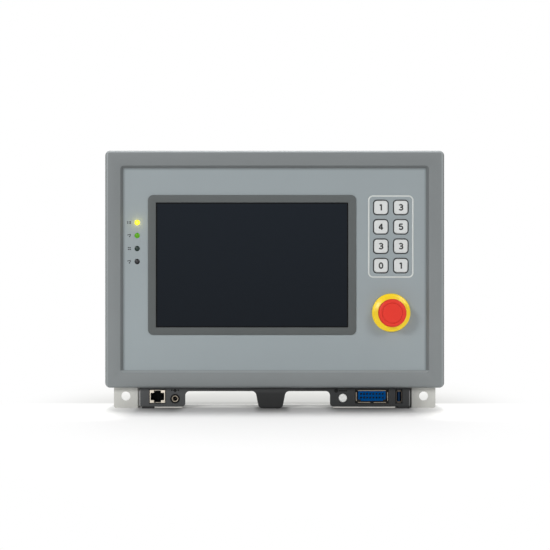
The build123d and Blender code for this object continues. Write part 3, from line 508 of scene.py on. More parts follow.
def painted_light_downwards(finish, low, high, rim=1.0):
    """Multiply a finish's colour by one factor at the bottom of the frame and another at its top, as
    painted light thrown up by the floor, and by a third as a painted highlight along its outer edge."""
    x, y, z = finish.axes()
    up = ((z - (FRAME_MID[1] - FRAME_SIZE[1] / 2) * MM) / (FRAME_SIZE[1] * MM)).above(0.5, 0.5)
    factor = finish.mix(up, grey(low), grey(high))
    if rim > 1:
        side = abs(abs(x) - (FRAME_SIZE[0] / 2 - 2.2) * MM).above(0.0006, 0.0004)
        level = abs(z - FRAME_MID[1] * MM).above((FRAME_SIZE[1] / 2 - 2.3) * MM, 0.0003)
        front = y.above((FRAME_FRONT + 3.0) * MM, 0.0005)
        line = ((1 - side).most(level * up)) * (1 - front)
        factor = finish.mix(line, factor, grey(rim))
    tinted(finish, factor)


def painted_light_and_shade_on_the_slope(finish, level):
    """Multiply the slope into the frame's opening by a factor as painted shade, and lighten it along the
    bottom as painted light.
    """
    x, y, z = finish.axes()
    rise = z - FRAME_MID[1] * MM
    deep = y.above((FRAME_FRONT + 0.45) * MM, 0.0002)
    inside = 1 - abs(x).above(OPENING_HALF[0] + 0.004, 0.0002)
    inside = inside * (1 - abs(rise).above(OPENING_HALF[1] + 0.004, 0.0002))
    tone = finish.mix(1 - rise.above(-OPENING_HALF[1], 0.0005), grey(level), grey(1.45))
    tinted(finish, finish.mix(deep * inside, grey(1.0), tone))


def shaded_by_the_frame(finish, level):
    """Multiply the fascia's colour by a factor near the sides and top of the opening: painted shade from
    the frame.
    """
    x, _, z = finish.axes()
    beside = (OPENING_HALF[0] - abs(x)).above(0.0012, 0.0018)
    over = (OPENING_HALF[1] - (z - FRAME_MID[1] * MM)).above(0.0012, 0.0018)
    tinted(finish, finish.mix(beside * over, grey(level), grey(1.0)))


def glass_finish():
    """Dark glass: lighter towards the top as a painted reflection, a painted shadow line round its edge
    under the surround's lip, fine anti-glare etch.
    """
    colour = (0.0085, 0.0118, 0.0168)
    finish = Finish("screen_glass", colour, 0.16, specular_ior_level=0.09)
    x, _, z = finish.axes()
    half_width = GLASS_SIZE[0] / 2
    half_height = GLASS_SIZE[1] / 2
    across = abs(x - SCREEN_MID[0] * MM) / (half_width * MM)
    up = (z - SCREEN_MID[1] * MM) / (half_height * MM)
    # painted shadow line where the glass sits under the surround's lip
    edge = across.above(1 - 1.1 / half_width, 0.4 / half_width)
    edge = edge.most(abs(up).above(1 - 1.1 / half_height, 0.4 / half_height))
    # painted reflection: the glass lighter towards the top
    glow = finish.mix(up * 0.5 + 0.5, shade(colour, 0.84), shade(colour, 1.08))
    finish.set(Base_Color=finish.mix(edge, glow, (0.0035, 0.0037, 0.0042, 1.0)))
    etch = finish.speckle(0.3, 1.0)
    finish.set(Roughness=0.16 + etch * 0.06)
    finish.bump(etch, 0.0015)
    return finish


def lens_finish(name, middle, centre, rim, own, light):
    """A tinted lens: pale at the middle and deep at the rim, by the distance from its axis. own is the
    share of the tint in the plastic's colour, and light the share that glows."""
    finish = Finish(name, rim, 0.25, emission_strength=light, specular_ior_level=0.2)
    x, _, z = finish.axes()
    out = ((x - middle[0] * MM) ** 2 + (z - middle[1] * MM) ** 2) ** 0.5 / (LAMP_RADIUS * MM)
    facets = finish.speckle(0.6, 1.0)
    spread = (out + (facets - 0.5) * 0.12).above(0.5, 0.42)
    finish.set(Base_Color=finish.mix(spread, shade(centre, own), shade(rim, own)))
    if light:
        finish.set(Emission_Color=finish.mix(spread, (*centre, 1.0), (*rim, 1.0)))
    finish.bump(facets, 0.004)
    return finish


def tray_finish():
    """Moulded black-grey plastic with painted light and shade: its tone falls from the left to the right
    as painted light from the left, painted shade darkens the foot and rims the sockets, and a painted
    highlight lies on the outer edges."""
    finish = moulded(
        "tray_plastic",
        (0.05, 0.052, 0.054),
        0.5,
        grain=0.9,
        depth=0.05,
        spread=0.1,
        specular_ior_level=0.3,
    )
    x, y, z = finish.axes()
    # painted light: the tray's tone falls from the left to the right, as the light comes from the left
    tones = [(0.18, 0.07), (0.3, 0.045), (0.6, 0.042), (0.7, 0.03)]
    stops = [(place, (tone, tone * 1.04, tone * 1.07)) for place, tone in tones]
    tint = finish.node("ShaderNodeValToRGB", {"stops": stops}, {0: (x + 0.14) / 0.28})
    # painted shade: the foot is darker, as it sits deeper in the frame's shadow
    foot = (1 - abs(x).above(0.03, 0.004)) * (1 - z.above(0.0165, 0.002))
    tint = finish.mix(foot, tint, (0.018, 0.0185, 0.019, 1.0))
    low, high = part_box("port_tray")
    # painted highlight on the pods' outer vertical edges, where they catch the light
    painted_edge_highlight = beyond(x, low[0], high[0], -0.001, 0.0002)
    painted_edge_highlight = painted_edge_highlight * (1 - y.above((FRAME_FRONT + 7.5) * MM, 0.0005)) * (1 - z.above(0.018, 0.001))
    tint = finish.mix(painted_edge_highlight * (1 - x.above(0.0, 0.01) * 0.5), tint, grey(0.36))
    # painted shadow lines round the sockets' openings
    for node in ("rj45_shield", "io_shell", "usb_shell"):
        low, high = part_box(node)
        wide = beyond(x, low[0], high[0], 0.0007, 0.00025)
        tall = beyond(z, low[2], high[2], 0.0007, 0.00025)
        tint = finish.mix((1 - wide) * (1 - tall), tint, grey(0.004))
    finish.set(Base_Color=tint)
    grain = finish.speckle(0.9, 2.0, roughness=0.6)
    tinted(finish, finish.mix(grain, grey(0.86), grey(1.14)))
    return finish


def jack_finish():
    """Tin plate on the power socket's sleeve, and painted shade on the pin and bore deep inside it, by
    the distance from the axis.
    """
    tin = (0.62, 0.53, 0.41)
    finish = rolled_steel("jack_tin", tin, 0.36, (1.0, 1.0, 0.2), depth=0.004, metallic=0.6)
    x, _, z = finish.axes()
    out = ((x - JACK_MID[0] * MM) ** 2 + (z - JACK_MID[1] * MM) ** 2) ** 0.5
    sleeve = out.above(JACK_PIN_REACH * MM, 0.00015)
    # painted shade: the pin deep in the bore is coloured near black
    finish.set(Base_Color=finish.mix(sleeve, (0.02, 0.018, 0.016, 1.0), (*tin, 1.0)))
    return finish


def painted_shade_in_corners(finish, node, reach):
    """Carry a finish's colour to black within a reach of a node's corners, seen from the front, as
    painted shade in the gaps at those corners.
    """
    x, _, z = finish.axes()
    low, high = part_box(node)
    wide = beyond(x, low[0], high[0], -reach * MM, 0.0002)
    tall = beyond(z, low[2], high[2], -reach * MM, 0.0002)
    finish.set(Base_Color=finish.mix(wide * tall, finish.colour(), grey(0.005)))


def painted_shade_behind(finish, node, depth, colour):
    """Carry a finish's colour to a dark one behind a depth from the front of a node, as painted shade
    inside it.
    """
    _, y, _ = finish.axes()
    behind = y.above(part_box(node)[0][1] + depth * MM, 0.0002)
    finish.set(Base_Color=finish.mix(behind, finish.colour(), (*colour, 1.0)))


# Finishes
frame_plastic = moulded("frame_plastic", (0.188, 0.204, 0.208), 0.48, grain=0.7, depth=0.035)
fascia_film = moulded("fascia_film", (0.285, 0.325, 0.34), 0.55, grain=0.35, depth=0.015, spread=0.03)
# painted light: frame and fascia lighter towards the bottom and darker at the top, and a painted
# highlight on the frame's outer rounding
painted_light_downwards(frame_plastic, 1.08, 0.89, 1.4)
painted_light_downwards(fascia_film, 1.05, 0.92)
# painted shade on the opening's slope, painted light along its bottom
painted_light_and_shade_on_the_slope(frame_plastic, 0.76)
shaded_by_the_frame(fascia_film, 0.48)
surround_plastic = moulded(
    "surround_plastic", (0.086, 0.095, 0.095), 0.5, grain=0.5, depth=0.02, specular_ior_level=0.35
)
black_plastic = moulded("black_plastic", (0.006, 0.006, 0.0065), 0.45, depth=0.02)
socket_black = moulded("socket_black", (0.004, 0.004, 0.004), 0.6, depth=0.02, specular_ior_level=0.2)
white_plastic = moulded("white_plastic", (0.9, 0.91, 0.89), 0.35, grain=1.2, depth=0.01, spread=0.02)
collar_rubber = moulded("collar_rubber", (0.017, 0.019, 0.021), 0.75, grain=0.4, depth=0.03)
foot_rubber = moulded("foot_rubber", (0.01, 0.01, 0.01), 0.75, grain=0.8, depth=0.06)
foam_rubber = moulded("foam_rubber", (0.014, 0.014, 0.015), 0.9, grain=0.3, depth=0.1)
board_lacquer = moulded("board_lacquer", (0.012, 0.09, 0.035), 0.35, grain=2.0, depth=0.01, spread=0.15)
dark_lacquer = moulded("dark_lacquer", (0.004, 0.012, 0.008), 0.4, grain=2.0, depth=0.01, spread=0.15)
trim_paint = moulded("trim_paint", (0.60, 0.63, 0.615), 0.4, grain=0.6, depth=0.01, spread=0.03)
key_plastic = moulded("key_plastic", (0.62, 0.635, 0.63), 0.42, grain=0.5, depth=0.012, spread=0.02)
# the yellow ring glows faintly of its own: painted light for the light it scatters
stop_yellow = moulded(
    "stop_yellow",
    (0.99, 0.7, 0.009),
    0.32,
    grain=0.8,
    depth=0.006,
    spread=0.02,
    specular_ior_level=0.45,
    emission_color=(1.0, 0.72, 0.0, 1.0),
    emission_strength=0.06,
)
stop_red = moulded(
    "stop_red", (0.74, 0.03, 0.015), 0.42, grain=0.8, depth=0.008, spread=0.02, specular_ior_level=0.35
)
connector_blue = moulded(
    "connector_blue",
    (0.0004, 0.068, 0.25),
    0.6,
    grain=0.6,
    depth=0.015,
    spread=0.1,
    specular_ior_level=0.02,
)
bracket_steel = rolled_steel("bracket_steel", (0.54, 0.54, 0.51), 0.42, (1.0, 1.0, 0.06), metallic=0.3)
# painted shadow on the right ear beside the pod
painted_shadow_by_the_bend(bracket_steel)
# a lighter, less metallic steel for the legs' front lips: painted light, as the lips sit in the pods'
# shade
painted_light_steel = rolled_steel("painted_light_steel", (0.72, 0.7, 0.66), 0.5, (0.1, 1.0, 1.0), metallic=0.0)
carrier_steel = rolled_steel("carrier_steel", (0.5, 0.5, 0.48), 0.4, (0.05, 1.0, 1.0))
tongue_blue = moulded("tongue_blue", (0.001, 0.02, 0.06), 0.5, depth=0.01, specular_ior_level=0.1)
tin_plate = rolled_steel(
    "tin_plate", (0.86, 0.78, 0.66), 0.34, (1.0, 1.0, 0.2), depth=0.004, metallic=0.8
)
heatsink_metal = rolled_steel("heatsink_metal", (0.5, 0.5, 0.5), 0.45, (1.0, 1.0, 0.03))
contact_brass = rolled_steel(
    "contact_brass", (0.03, 0.015, 0.007), 0.6, (1.0, 0.1, 1.0), depth=0.003, metallic=0.2
)
socket_tin = rolled_steel(
    "socket_tin", (0.33, 0.28, 0.22), 0.4, (1.0, 1.0, 0.2), depth=0.004, metallic=0.5
)
dull_tin = rolled_steel(
    "dull_tin", (0.09, 0.072, 0.058), 0.45, (1.0, 1.0, 0.2), depth=0.004, metallic=0.4
)
mark_ink = moulded("mark_ink", (0.03, 0.033, 0.035), 0.6, grain=0.3, depth=0.005)
tray_ink = moulded(
    "tray_ink", (0.004, 0.004, 0.004), 0.6, grain=0.3, depth=0.005, specular_ior_level=0.2
)
digit_ink = moulded("digit_ink", (0.006, 0.006, 0.0065), 0.6, grain=0.3, depth=0.005)
# painted shade inside the sockets and the connector's holes
painted_shade_behind(socket_tin, "io_shell", 0.9, (0.006, 0.005, 0.004))
# painted shade in the gaps at the shells' corners
painted_shade_in_corners(socket_tin, "io_shell", 2.1)
painted_shade_in_corners(dull_tin, "usb_shell", 1.3)
painted_shade_behind(dull_tin, "usb_shell", 1.2, (0.006, 0.005, 0.004))
painted_shade_behind(connector_blue, "io_insulator", 1.2, (0.0008, 0.003, 0.01))
tray_plastic = tray_finish()
jack_tin = jack_finish()
screen_glass = glass_finish()

# Frame: the section runs up the outer side, over the rounded front and down into the opening
frame_wall = 3.0
outer = [(0.0, FRAME_DEPTH)] + quarter((0.0, FRAME_EDGE), (FRAME_EDGE, 0.0), "depth")
slope = np.array([(-1.0, 0.0), (-0.88, 0.05), (-0.72, 0.2), (-0.2, 0.75), (-0.07, 0.88), (0.0, 1.0)])
inner = (slope * (OPENING_EDGE, FASCIA_DEPTH)).tolist()
hollow = [(frame_wall, FASCIA_DEPTH), (frame_wall, FRAME_DEPTH)]
frame_stations = carried(FRAME_SIZE, FRAME_CORNER, outer)
frame_stations += carried(OPENING_SIZE, OPENING_CORNER, inner)
frame_stations += carried(FRAME_SIZE, FRAME_CORNER, hollow)
make_piece(
    "bezel_frame_moulded",
    [loft_arrays(frame_stations, FRAME_MID, closed=True)],
    frame_plastic,
    stands_for=("bezel_frame",),
)

# Screen surround: a low ridge with rounded edges, its flange on the fascia and its lip over the glass
surround_stations = carried(
    SURROUND_SIZE,
    5.0,
    [(2.7, 8.6), (2.7, FASCIA_DEPTH), (0.0, FASCIA_DEPTH), (0.0, 2.5)]
    + quarter((0.0, 2.5), (0.5, 2.0), "depth")[1:],
)
surround_stations += carried(
    GLASS_SIZE,
    0.8,
    quarter((-0.4, 2.0), (0.0, 2.4), "inset", 3) + [(0.0, 3.4), (-2.05, 3.4), (-2.05, 8.6)],
)
make_piece(
    "display_surround_moulded",
    [loft_arrays(surround_stations, SCREEN_MID, closed=True)],
    surround_plastic,
    stands_for=("display_surround",),
)

# Trim ring round the keys
trim_stations = carried(
    TRIM_SIZE,
    TRIM_CORNER,
    [(0.0, FASCIA_DEPTH)]
    + quarter((0.0, 3.0), (0.4, 2.6), "depth", 4)
    + quarter((TRIM_BAND - 0.4, 2.6), (TRIM_BAND, 3.0), "inset", 4)
    + [(TRIM_BAND, FASCIA_DEPTH)],
)
make_piece(
    "keypad_trim_moulded",
    [loft_arrays(trim_stations, KEYPAD_MID, closed=True)],
    trim_paint,
    stands_for=("keypad_trim",),
)


def key_middle(row, column):
    """The middle of one key, counted from the top left."""
    return (
        KEYPAD_MID[0] + KEY_PITCH[0] * (column - 0.5),
        KEYPAD_MID[1] + KEY_PITCH[1] * (1.5 - row),
    )


# Rubber collars round the keys, in the fascia's holes
collar_size = (KEY_HOLE[0] - 0.12, KEY_HOLE[1] - 0.12)
collar_profile = [(0.0, 5.3)] + quarter((0.0, 3.75), (0.3, 3.45), "depth", 3)
collar_profile += quarter((0.65, 3.45), (0.85, 3.65), "inset", 3) + [(0.85, 5.3)]
collar_stations = carried(collar_size, KEY_HOLE_CORNER - 0.06, collar_profile)
collars = [
    loft_arrays(collar_stations, key_middle(row, column), True)
    for row in range(4)
    for column in range(2)
]
make_piece("key_collars", collars, collar_rubber)


def straight(*points):
    """A path straight from point to point."""
    return np.array(points, dtype=float)


# The strokes of each figure, in a box 4.4 wide and 6.3 tall around its middle
FIGURES = {
    "0": [arc((0.0, 0.0), (1.68, 2.62), 0.0, 348.0, 30)],
    "1": [straight((0.35, -3.1), (0.35, 3.1)), straight((-1.35, 1.95), (0.1, 2.55))],
    "3": [
        arc((-0.05, 1.38), (1.6, 1.27), 158.0, -88.0),
        arc((0.0, -1.25), (1.75, 1.38), 88.0, -160.0),
        straight((-0.75, 0.12), (0.1, 0.12)),
    ],
    "4": [
        straight((0.72, -3.05), (0.72, 3.1)),
        straight((-2.15, -1.35), (2.15, -1.35)),
        straight((-1.95, -1.15), (0.75, 2.85)),
    ],
    "5": [
        straight((-1.45, 2.62), (1.75, 2.62)),
        straight((-1.3, 2.6), (-1.55, -0.15)),
        arc((-0.02, -1.05), (1.72, 1.6), 148.0, -156.0, 26),
    ],
}


def figure_parts(figure, middle, depth):
    """A printed figure as thin bands, each a hair in front of the one before."""
    strokes = []
    for place, path in enumerate(FIGURES[figure]):
        ring = figure == "0"
        face = depth - 0.004 * place
        strokes.append(band_arrays(path, 1.42, face, depth + 0.03, middle, ring))
    return strokes


# Fascia: a plate with rounded holes for the screen, the keys, the lamps and the stop
fascia_holes = [rounded_outline(203.8, 135.4, 2.5) + SCREEN_MID]
fascia_holes += [
    rounded_outline(*KEY_HOLE, KEY_HOLE_CORNER) + key_middle(row, column)
    for row in range(4)
    for column in range(2)
]
fascia_holes += [
    circle_outline(2.72, 48) + (LAMP_X, LAMP_TOP - LAMP_PITCH * number) for number in range(4)
]
fascia_holes += [circle_outline(11.3, 64) + STOP_MID]
fascia_edge = rounded_outline(308.6, 207.0, 1.0) + FRAME_MID
show(
    "fascia_cut",
    plate_mesh("fascia_cut", [fascia_edge] + fascia_holes, FASCIA_DEPTH, FASCIA_BACK),
    fascia_film,
    stands_for=("fascia_plate",),
)

# Key caps: rounded edges and a flat top, with the flange and the plunger behind
flange_size = (KEY_SIZE[0] + 2.1, KEY_SIZE[1] + 2.1)
for row, texts in enumerate(DIGITS):
    for column, text in enumerate(texts):
        key = f"key_{row + 1}_{('left', 'right')[column]}"
        middle = key_middle(row, column)
        cap = carried((3.0, 3.0), 0.1, [(0.0, 10.2), (0.0, 7.7)])
        cap += carried(flange_size, 0.3, [(0.0, 7.7), (0.0, 6.7)])
        cap += carried(
            KEY_SIZE,
            KEY_CORNER,
            [(0.0, 6.7), (0.0, KEY_FRONT + KEY_EDGE)]
            + quarter((0.0, KEY_FRONT + KEY_EDGE), (KEY_EDGE, KEY_FRONT), "depth")[1:]
            + [(KEY_EDGE + 0.6, KEY_FRONT)],
        )
        make_piece(
            f"{key}_cap", [loft_arrays(cap, middle)], key_plastic, key, (key,), sharp=50.0
        )
        printed = figure_parts(text, middle, KEY_FRONT - 0.01)
        make_piece(f"{key}_figure", printed, digit_ink, key)

# Status lamps: domed lenses
lamp_tints = (
    ("yellow", (1.0, 1.0, 0.14), (1.0, 0.82, 0.004), 0.15, 1.2),
    ("green", (0.12, 0.33, 0.015), (0.085, 0.36, 0.002), 0.75, 0.22),
    ("dark_green", (0.04, 0.055, 0.05), (0.008, 0.022, 0.017), 1.0, 0.0),
    ("dark_grey", (0.042, 0.042, 0.047), (0.010, 0.010, 0.011), 1.0, 0.0),
)
dome_radius = LAMP_RADIUS / math.sin(DOME_ANGLE)
dome = [
    (DOME_BASE + dome_radius * (1 - math.cos(angle)), dome_radius * math.sin(angle))
    for angle in np.linspace(DOME_ANGLE, 0, 8)
]
lens = [(9.8, 1.5), (6.2, 1.5), (6.2, 3.2), (FASCIA_BACK, 3.2), (FASCIA_BACK, LAMP_RADIUS)] + dome
for number, (tint, centre, rim, own, light) in enumerate(lamp_tints):
    middle = (LAMP_X, LAMP_TOP - LAMP_PITCH * number)
    finish = lens_finish(f"lens_{tint}", middle, centre, rim, own, light)
    node = f"lamp_lens_{number + 1}"
    domed = [loft_arrays(turned(lens, 48), middle)]
    make_piece(f"{node}_dome", domed, finish, BODY, (node,))

# Emergency stop: yellow ring, red head with its disc, dark stem
ring_profile = [(FASCIA_DEPTH, 11.25), (FASCIA_DEPTH, RING_RADIUS), (0.9, RING_RADIUS)]
ring_profile += turned_quarter(RING_RADIUS, (0.0, 0.9), (1.5, -0.75), "depth", 6)
ring_profile += [(-1.35, 16.4), (-2.3, 14.4), (-2.75, RING_LIP)]
ring_profile += turned_quarter(RING_LIP, (0.0, -2.75), (0.85, -2.2), "inset", 4)
ring_profile += [(1.0, 12.55), (1.0, 11.25)]
make_piece(
    "estop_ring",
    [loft_arrays(turned(ring_profile, 128), STOP_MID, closed=True)],
    stop_yellow,
    stands_for=("estop_collar",),
    sharp=40.0,
)
head_profile = [(-12.0, 4.3), (HEAD_BACK, 4.3), (HEAD_BACK, 11.2)]
head_profile += turned_quarter(11.2, (0.0, HEAD_BACK), (-2.8, -9.6), "inset", 6)
head_profile += [(HEAD_SHOULDER, HEAD_RADIUS)]
head_profile += turned_quarter(HEAD_RADIUS, (0.0, HEAD_SHOULDER), (2.2, HEAD_FRONT), "depth", 8)
head_profile += turned_quarter(
    RECESS_RADIUS, (0.0, HEAD_FRONT), (0.65, HEAD_FRONT + 0.3), "inset", 5, first=0
)
head_profile += [(HEAD_FRONT + 1.2, 10.15)]
make_piece(
    "estop_mushroom",
    [loft_arrays(turned(head_profile, 128), STOP_MID)],
    stop_red,
    "estop_head",
    ("estop_head",),
    sharp=40.0,
)
disc_profile = [(HEAD_FRONT + 1.2, DISC_RADIUS)]
disc_profile += turned_quarter(
    DISC_RADIUS, (0.0, HEAD_FRONT + 0.3), (0.9, HEAD_FRONT), "depth", 6, first=0
)
make_piece(
    "estop_disc",
    [loft_arrays(turned(disc_profile, 128), STOP_MID)],
    stop_red,
    "estop_head",
    ("estop_cap_disc",),
)

# White push button: domed, with its flange and plunger
button_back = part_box("service_button")[1][1] / MM - FRAME_FRONT
button_profile = [(button_back, 1.5), (9.5, 1.5), (9.5, 4.8), (8.3, 4.8)]
button_profile += [(8.3, BUTTON_RADIUS), (5.4, BUTTON_RADIUS)]
button_profile += turned_quarter(BUTTON_RADIUS, (0.0, 5.4), (0.9, 4.85), "depth", 5)
button_profile += [(4.8, 1.6)]
make_piece(
    "service_button_domed",
    [loft_arrays(turned(button_profile, 64), BUTTON_MID)],
    white_plastic,
    "service_button",
    ("service_button",),
    sharp=50.0,
)

# Screws of the rear cover, in its corner recesses
screw_top, screw_foot = SCREW_HEAD
screw_stations = [
    (hexagon_outline(1.7, 48), 50.3),
    (hexagon_outline(1.7, 48), screw_top),
    (circle_outline(2.9, 48), screw_top),
    (circle_outline(3.4, 48), screw_top - 0.25),
    (circle_outline(3.6, 48), screw_top - 0.8),
    (circle_outline(3.6, 48), screw_foot),
]
screws = [
    loft_arrays(screw_stations, (sx * SCREW_SPOT[0], FRAME_MID[1] + sz * SCREW_SPOT[1]))
    for sx in (-1, 1)
    for sz in (-1, 1)
]
make_piece("cover_screws", screws, carrier_steel, sharp=40.0)


def mark_parts(outline, middle, depth):
    """A thin flat mark whose face lies just in front of a depth."""
    return loft_arrays([(outline, depth + 0.02), (outline, depth - 0.02)], middle)


def block(width, height):
    """A small rectangle with eased corners."""
    return rounded_outline(width, height, 0.25, 3)[::-1]


# Small plain marks left of the lamps: blocks, a hook with a dot, four blocks, a hook with a dot
printed = []
for shift, rise, width, height in (
    (-1.3, 1.0, 1.5, 0.62),
    (-1.3, 0.0, 1.5, 0.62),
    (-1.3, -1.0, 1.5, 0.62),
    (1.1, 0.75, 1.4, 1.15),
    (1.1, -0.75, 1.4, 1.15),
):
    place = (LAMP_MARK_X + shift, LAMP_TOP + rise)
    printed.append(mark_parts(block(width, height), place, FASCIA_DEPTH))
hook = np.array([(-2.0, 0.5), (1.3, 1.3), (1.3, 0.1), (0.0, -0.9)])
for number, dx, dz in ((1, 0.3, -0.9), (3, 0.1, -1.5)):
    spot = (LAMP_MARK_X + 0.3, LAMP_TOP - LAMP_PITCH * number)
    printed.append(band_arrays(hook, 0.75, FASCIA_DEPTH - 0.02, FASCIA_DEPTH + 0.02, spot))
    dot = circle_outline(0.62, 16)[::-1]
    printed.append(mark_parts(dot, (spot[0] + dx, spot[1] + dz), FASCIA_DEPTH))
for dx in (-1.1, 0.6):
    for dz in (-0.9, 0.9):
        place = (LAMP_MARK_X + 0.6 + dx, LAMP_TOP - 2 * LAMP_PITCH + dz)
        printed.append(mark_parts(block(1.45, 1.15), place, FASCIA_DEPTH))
make_piece("lamp_marks", printed, mark_ink)

# Marks on the pods: a diamond over the power socket, a disc and a row of blocks over the button
diamond = np.array([(0.0, 1.9), (-2.1, 0.0), (0.0, -1.9), (2.1, 0.0)])
pod_marks = [mark_parts(diamond[::-1], (JACK_MID[0], POD_MARK_Z + 0.2), POD_FRONT)]
for dx in (-3.3, 3.3):
    place = (JACK_MID[0] + dx, POD_MARK_Z + 0.5)
    pod_marks.append(mark_parts(circle_outline(0.85, 16)[::-1], place, POD_FRONT))
pod_marks.append(mark_parts(circle_outline(2.05, 32)[::-1], (61.9, POD_MARK_Z), POD_FRONT))
for step in range(4):
    pod_marks.append(mark_parts(block(1.7, 1.5), (65.6 + 2.1 * step, POD_MARK_Z), POD_FRONT))
make_piece("pod_marks", pod_marks, tray_ink)

# Blue body of the two-row connector: a plate with two rows of square holes, notched at its lower
# corners, on the base that fills the shell
io_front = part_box("io_insulator")[0][1] / MM - FRAME_FRONT
right_half = [(13.75, 5.25), (13.75, -2.95), (11.15, -2.95), (11.15, -4.45)]
body_outline = np.array([right_half[0]] + [(-x, z) for x, z in right_half] + right_half[:0:-1])
contact_holes = [
    rounded_outline(CONTACT_HOLE, CONTACT_HOLE, 0.15, 2)
    + (
        CONNECTOR_MID[0] + CONTACT_PITCH[0] * (column - 3.5),
        CONNECTOR_MID[1] + 0.8 + CONTACT_PITCH[1] * (row - 0.5),
    )
    for row in range(2)
    for column in range(8)
]
io_body = plate_mesh("io_body", [body_outline + CONNECTOR_MID] + contact_holes, io_front, io_front + 3.6)
show("io_body", io_body, connector_blue, stands_for=("io_insulator",))
io_base = carried((30.6, 11.1), 0.2, [(0.0, io_front + 17.9), (0.0, io_front + 3.6)])
make_piece("io_base", [loft_arrays(io_base, CONNECTOR_MID)], black_plastic)

# Pieces that keep the model's own form, with their edges eased
for node, finish, slot, bevel in (
    ("rear_shell", frame_plastic, "frame_grey", 0.2),
    ("port_tray", tray_plastic, "tray_charcoal", 0.6),
    ("bracket_left", bracket_steel, "steel_sheet", 0.15),
    ("bracket_right", bracket_steel, "steel_sheet", 0.15),
    ("rubber_feet", foot_rubber, "pad_rubber", 0.4),
    ("rj45_shield", tin_plate, "socket_metal", 0.1),
    ("rj45_insert", socket_black, "inner_black", 0.1),
    ("dc_jack_body", socket_black, "inner_black", 0.15),
    ("dc_jack_contacts", jack_tin, "socket_metal", 0.08),
    ("io_shell", socket_tin, "socket_metal", 0.15),
    ("usb_shell", dull_tin, "socket_metal", 0.1),
    ("usb_tongue", tongue_blue, "connector_blue", 0.1),
    ("estop_bushing", black_plastic, "inner_black", 0.1),
    ("heatsink", heatsink_metal, "heatsink_metal", 0.1),
    ("display_carrier", carrier_steel, "steel_sheet", 0.1),
    ("estop_contact_block", black_plastic, "inner_black", 0.3),
):
    ease(node, finish, bevel)
ease("estop_stem", black_plastic, 0.15, "estop_plunger")

# The lower legs' front lips, between a rubber pad and the pod's inner corner, in a lighter steel that is
# painted light
for node, pad_end in PAD_ENDS:
    low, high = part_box(node)
    leg_end = (high[0] if pad_end < 0 else low[0]) / MM
    width = abs(leg_end - pad_end)
    lip = carried((width, 1.5), 0.3, [(0.0, 12.1), (0.0, 6.6), (0.2, 6.4)])
    lip_mid = ((leg_end + pad_end) / 2, low[2] / MM + 0.75)
    make_piece(f"{node}_lip", [loft_arrays(lip, lip_mid)], painted_light_steel)

# Pieces inside, which keep their form and get their finish
for finish, nodes in (
    (screen_glass, ("touch_glass",)),
    (collar_rubber, ("keymat",)),
    (foam_rubber, ("display_gasket",)),
    (black_plastic, ("lcd_module", "keypad_housing", "key_switches", "estop_locknut", "service_switch")),
    (board_lacquer, ("main_board", "keypad_board", "lamp_board")),
    (dark_lacquer, ("io_board_left", "io_board_right")),
    (tin_plate, ("board_standoffs",)),
    (white_plastic, ("status_leds",)),
    (contact_brass, ("rj45_contacts", "io_contacts")),
):
    for node in nodes:
        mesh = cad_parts[node].data
        mesh.materials.clear()
        mesh.materials.append(finish.material)


def plain_view(tree):
    """1 for the camera, in reflections and through glass, and 0 for light that only illuminates."""
    path = tree.nodes.new("ShaderNodeLightPath")
    seen = path.outputs["Is Camera Ray"]
    for other in ("Is Glossy Ray", "Is Transmission Ray"):
        either = tree.nodes.new("ShaderNodeMath")
        either.operation = "MAXIMUM"
        tree.links.new(seen, either.inputs[0])
        tree.links.new(path.outputs[other], either.inputs[1])
        seen = either.outputs[0]
    return seen


def ranged(tree, value, low, high, low_value, high_value):
    """A value carried from one range to another, with a soft step."""
    made = tree.nodes.new("ShaderNodeMapRange")
    made.interpolation_type = "SMOOTHSTEP"
    limits = {"From Min": low, "From Max": high, "To Min": low_value, "To Max": high_value}
    for name, given in limits.items():
        if isinstance(given, bpy.types.NodeSocket):
            tree.links.new(given, made.inputs[name])
        else:
            made.inputs[name].default_value = given
    tree.links.new(value, made.inputs["Value"])
    return made.outputs[0]


# Floor: paper near the part, with painted shade behind it and a painted contact shadow under the pods
# and the foot, and painted light beside the ears and under the part between the pods; pure white farther
# out, so that no horizon shows
floor_mesh = bpy.data.meshes.new("floor")
corners = [(sx * FLOOR_REACH, sz * FLOOR_REACH, 0) for sx, sz in ((-1, -1), (1, -1), (1, 1), (-1, 1))]
floor_mesh.from_pydata(corners, [], [(0, 1, 2, 3)])
floor = bpy.data.objects.new("floor", floor_mesh)
bpy.context.scene.collection.objects.link(floor)
paper = Finish("floor_paper", (0.6, 0.6, 0.6), 1.0, specular_ior_level=0.0)
floor_x, floor_y, _ = paper.axes()
away = ((floor_x * 2.2) ** 2 + floor_y ** 2) ** 0.5
white = paper.node("ShaderNodeEmission", values={"Color": (1.0, 1.0, 1.0, 1.0)})
level = ranged(paper.tree, plain_view(paper.tree), 0.0, 1.0, 0.85, 1.0)
paper.tree.links.new(level, white.socket.node.inputs["Strength"])
# painted light: lighter paper beside the ears and under the part between the pods
beside = abs(floor_x).above(0.148, 0.02) * floor_y.above(-0.1, 0.04) * (1 - floor_y.above(0.03, 0.03))
between = 1 - abs(floor_x + 0.019).above(0.075, 0.008)
under = between * floor_y.above(-0.004, 0.009) * (1 - floor_y.above(0.028, 0.006))
# painted contact shadow: darker paper just in front of and under the pods and the foot
foot = 1 - abs(floor_x + 0.0025).above(0.016, 0.004)
close = foot.most((1 - between) * (1 - abs(floor_x).above(0.138, 0.004)))
close = close * floor_y.above(-0.038, 0.024) * (1 - floor_y.above(0.0, 0.005))
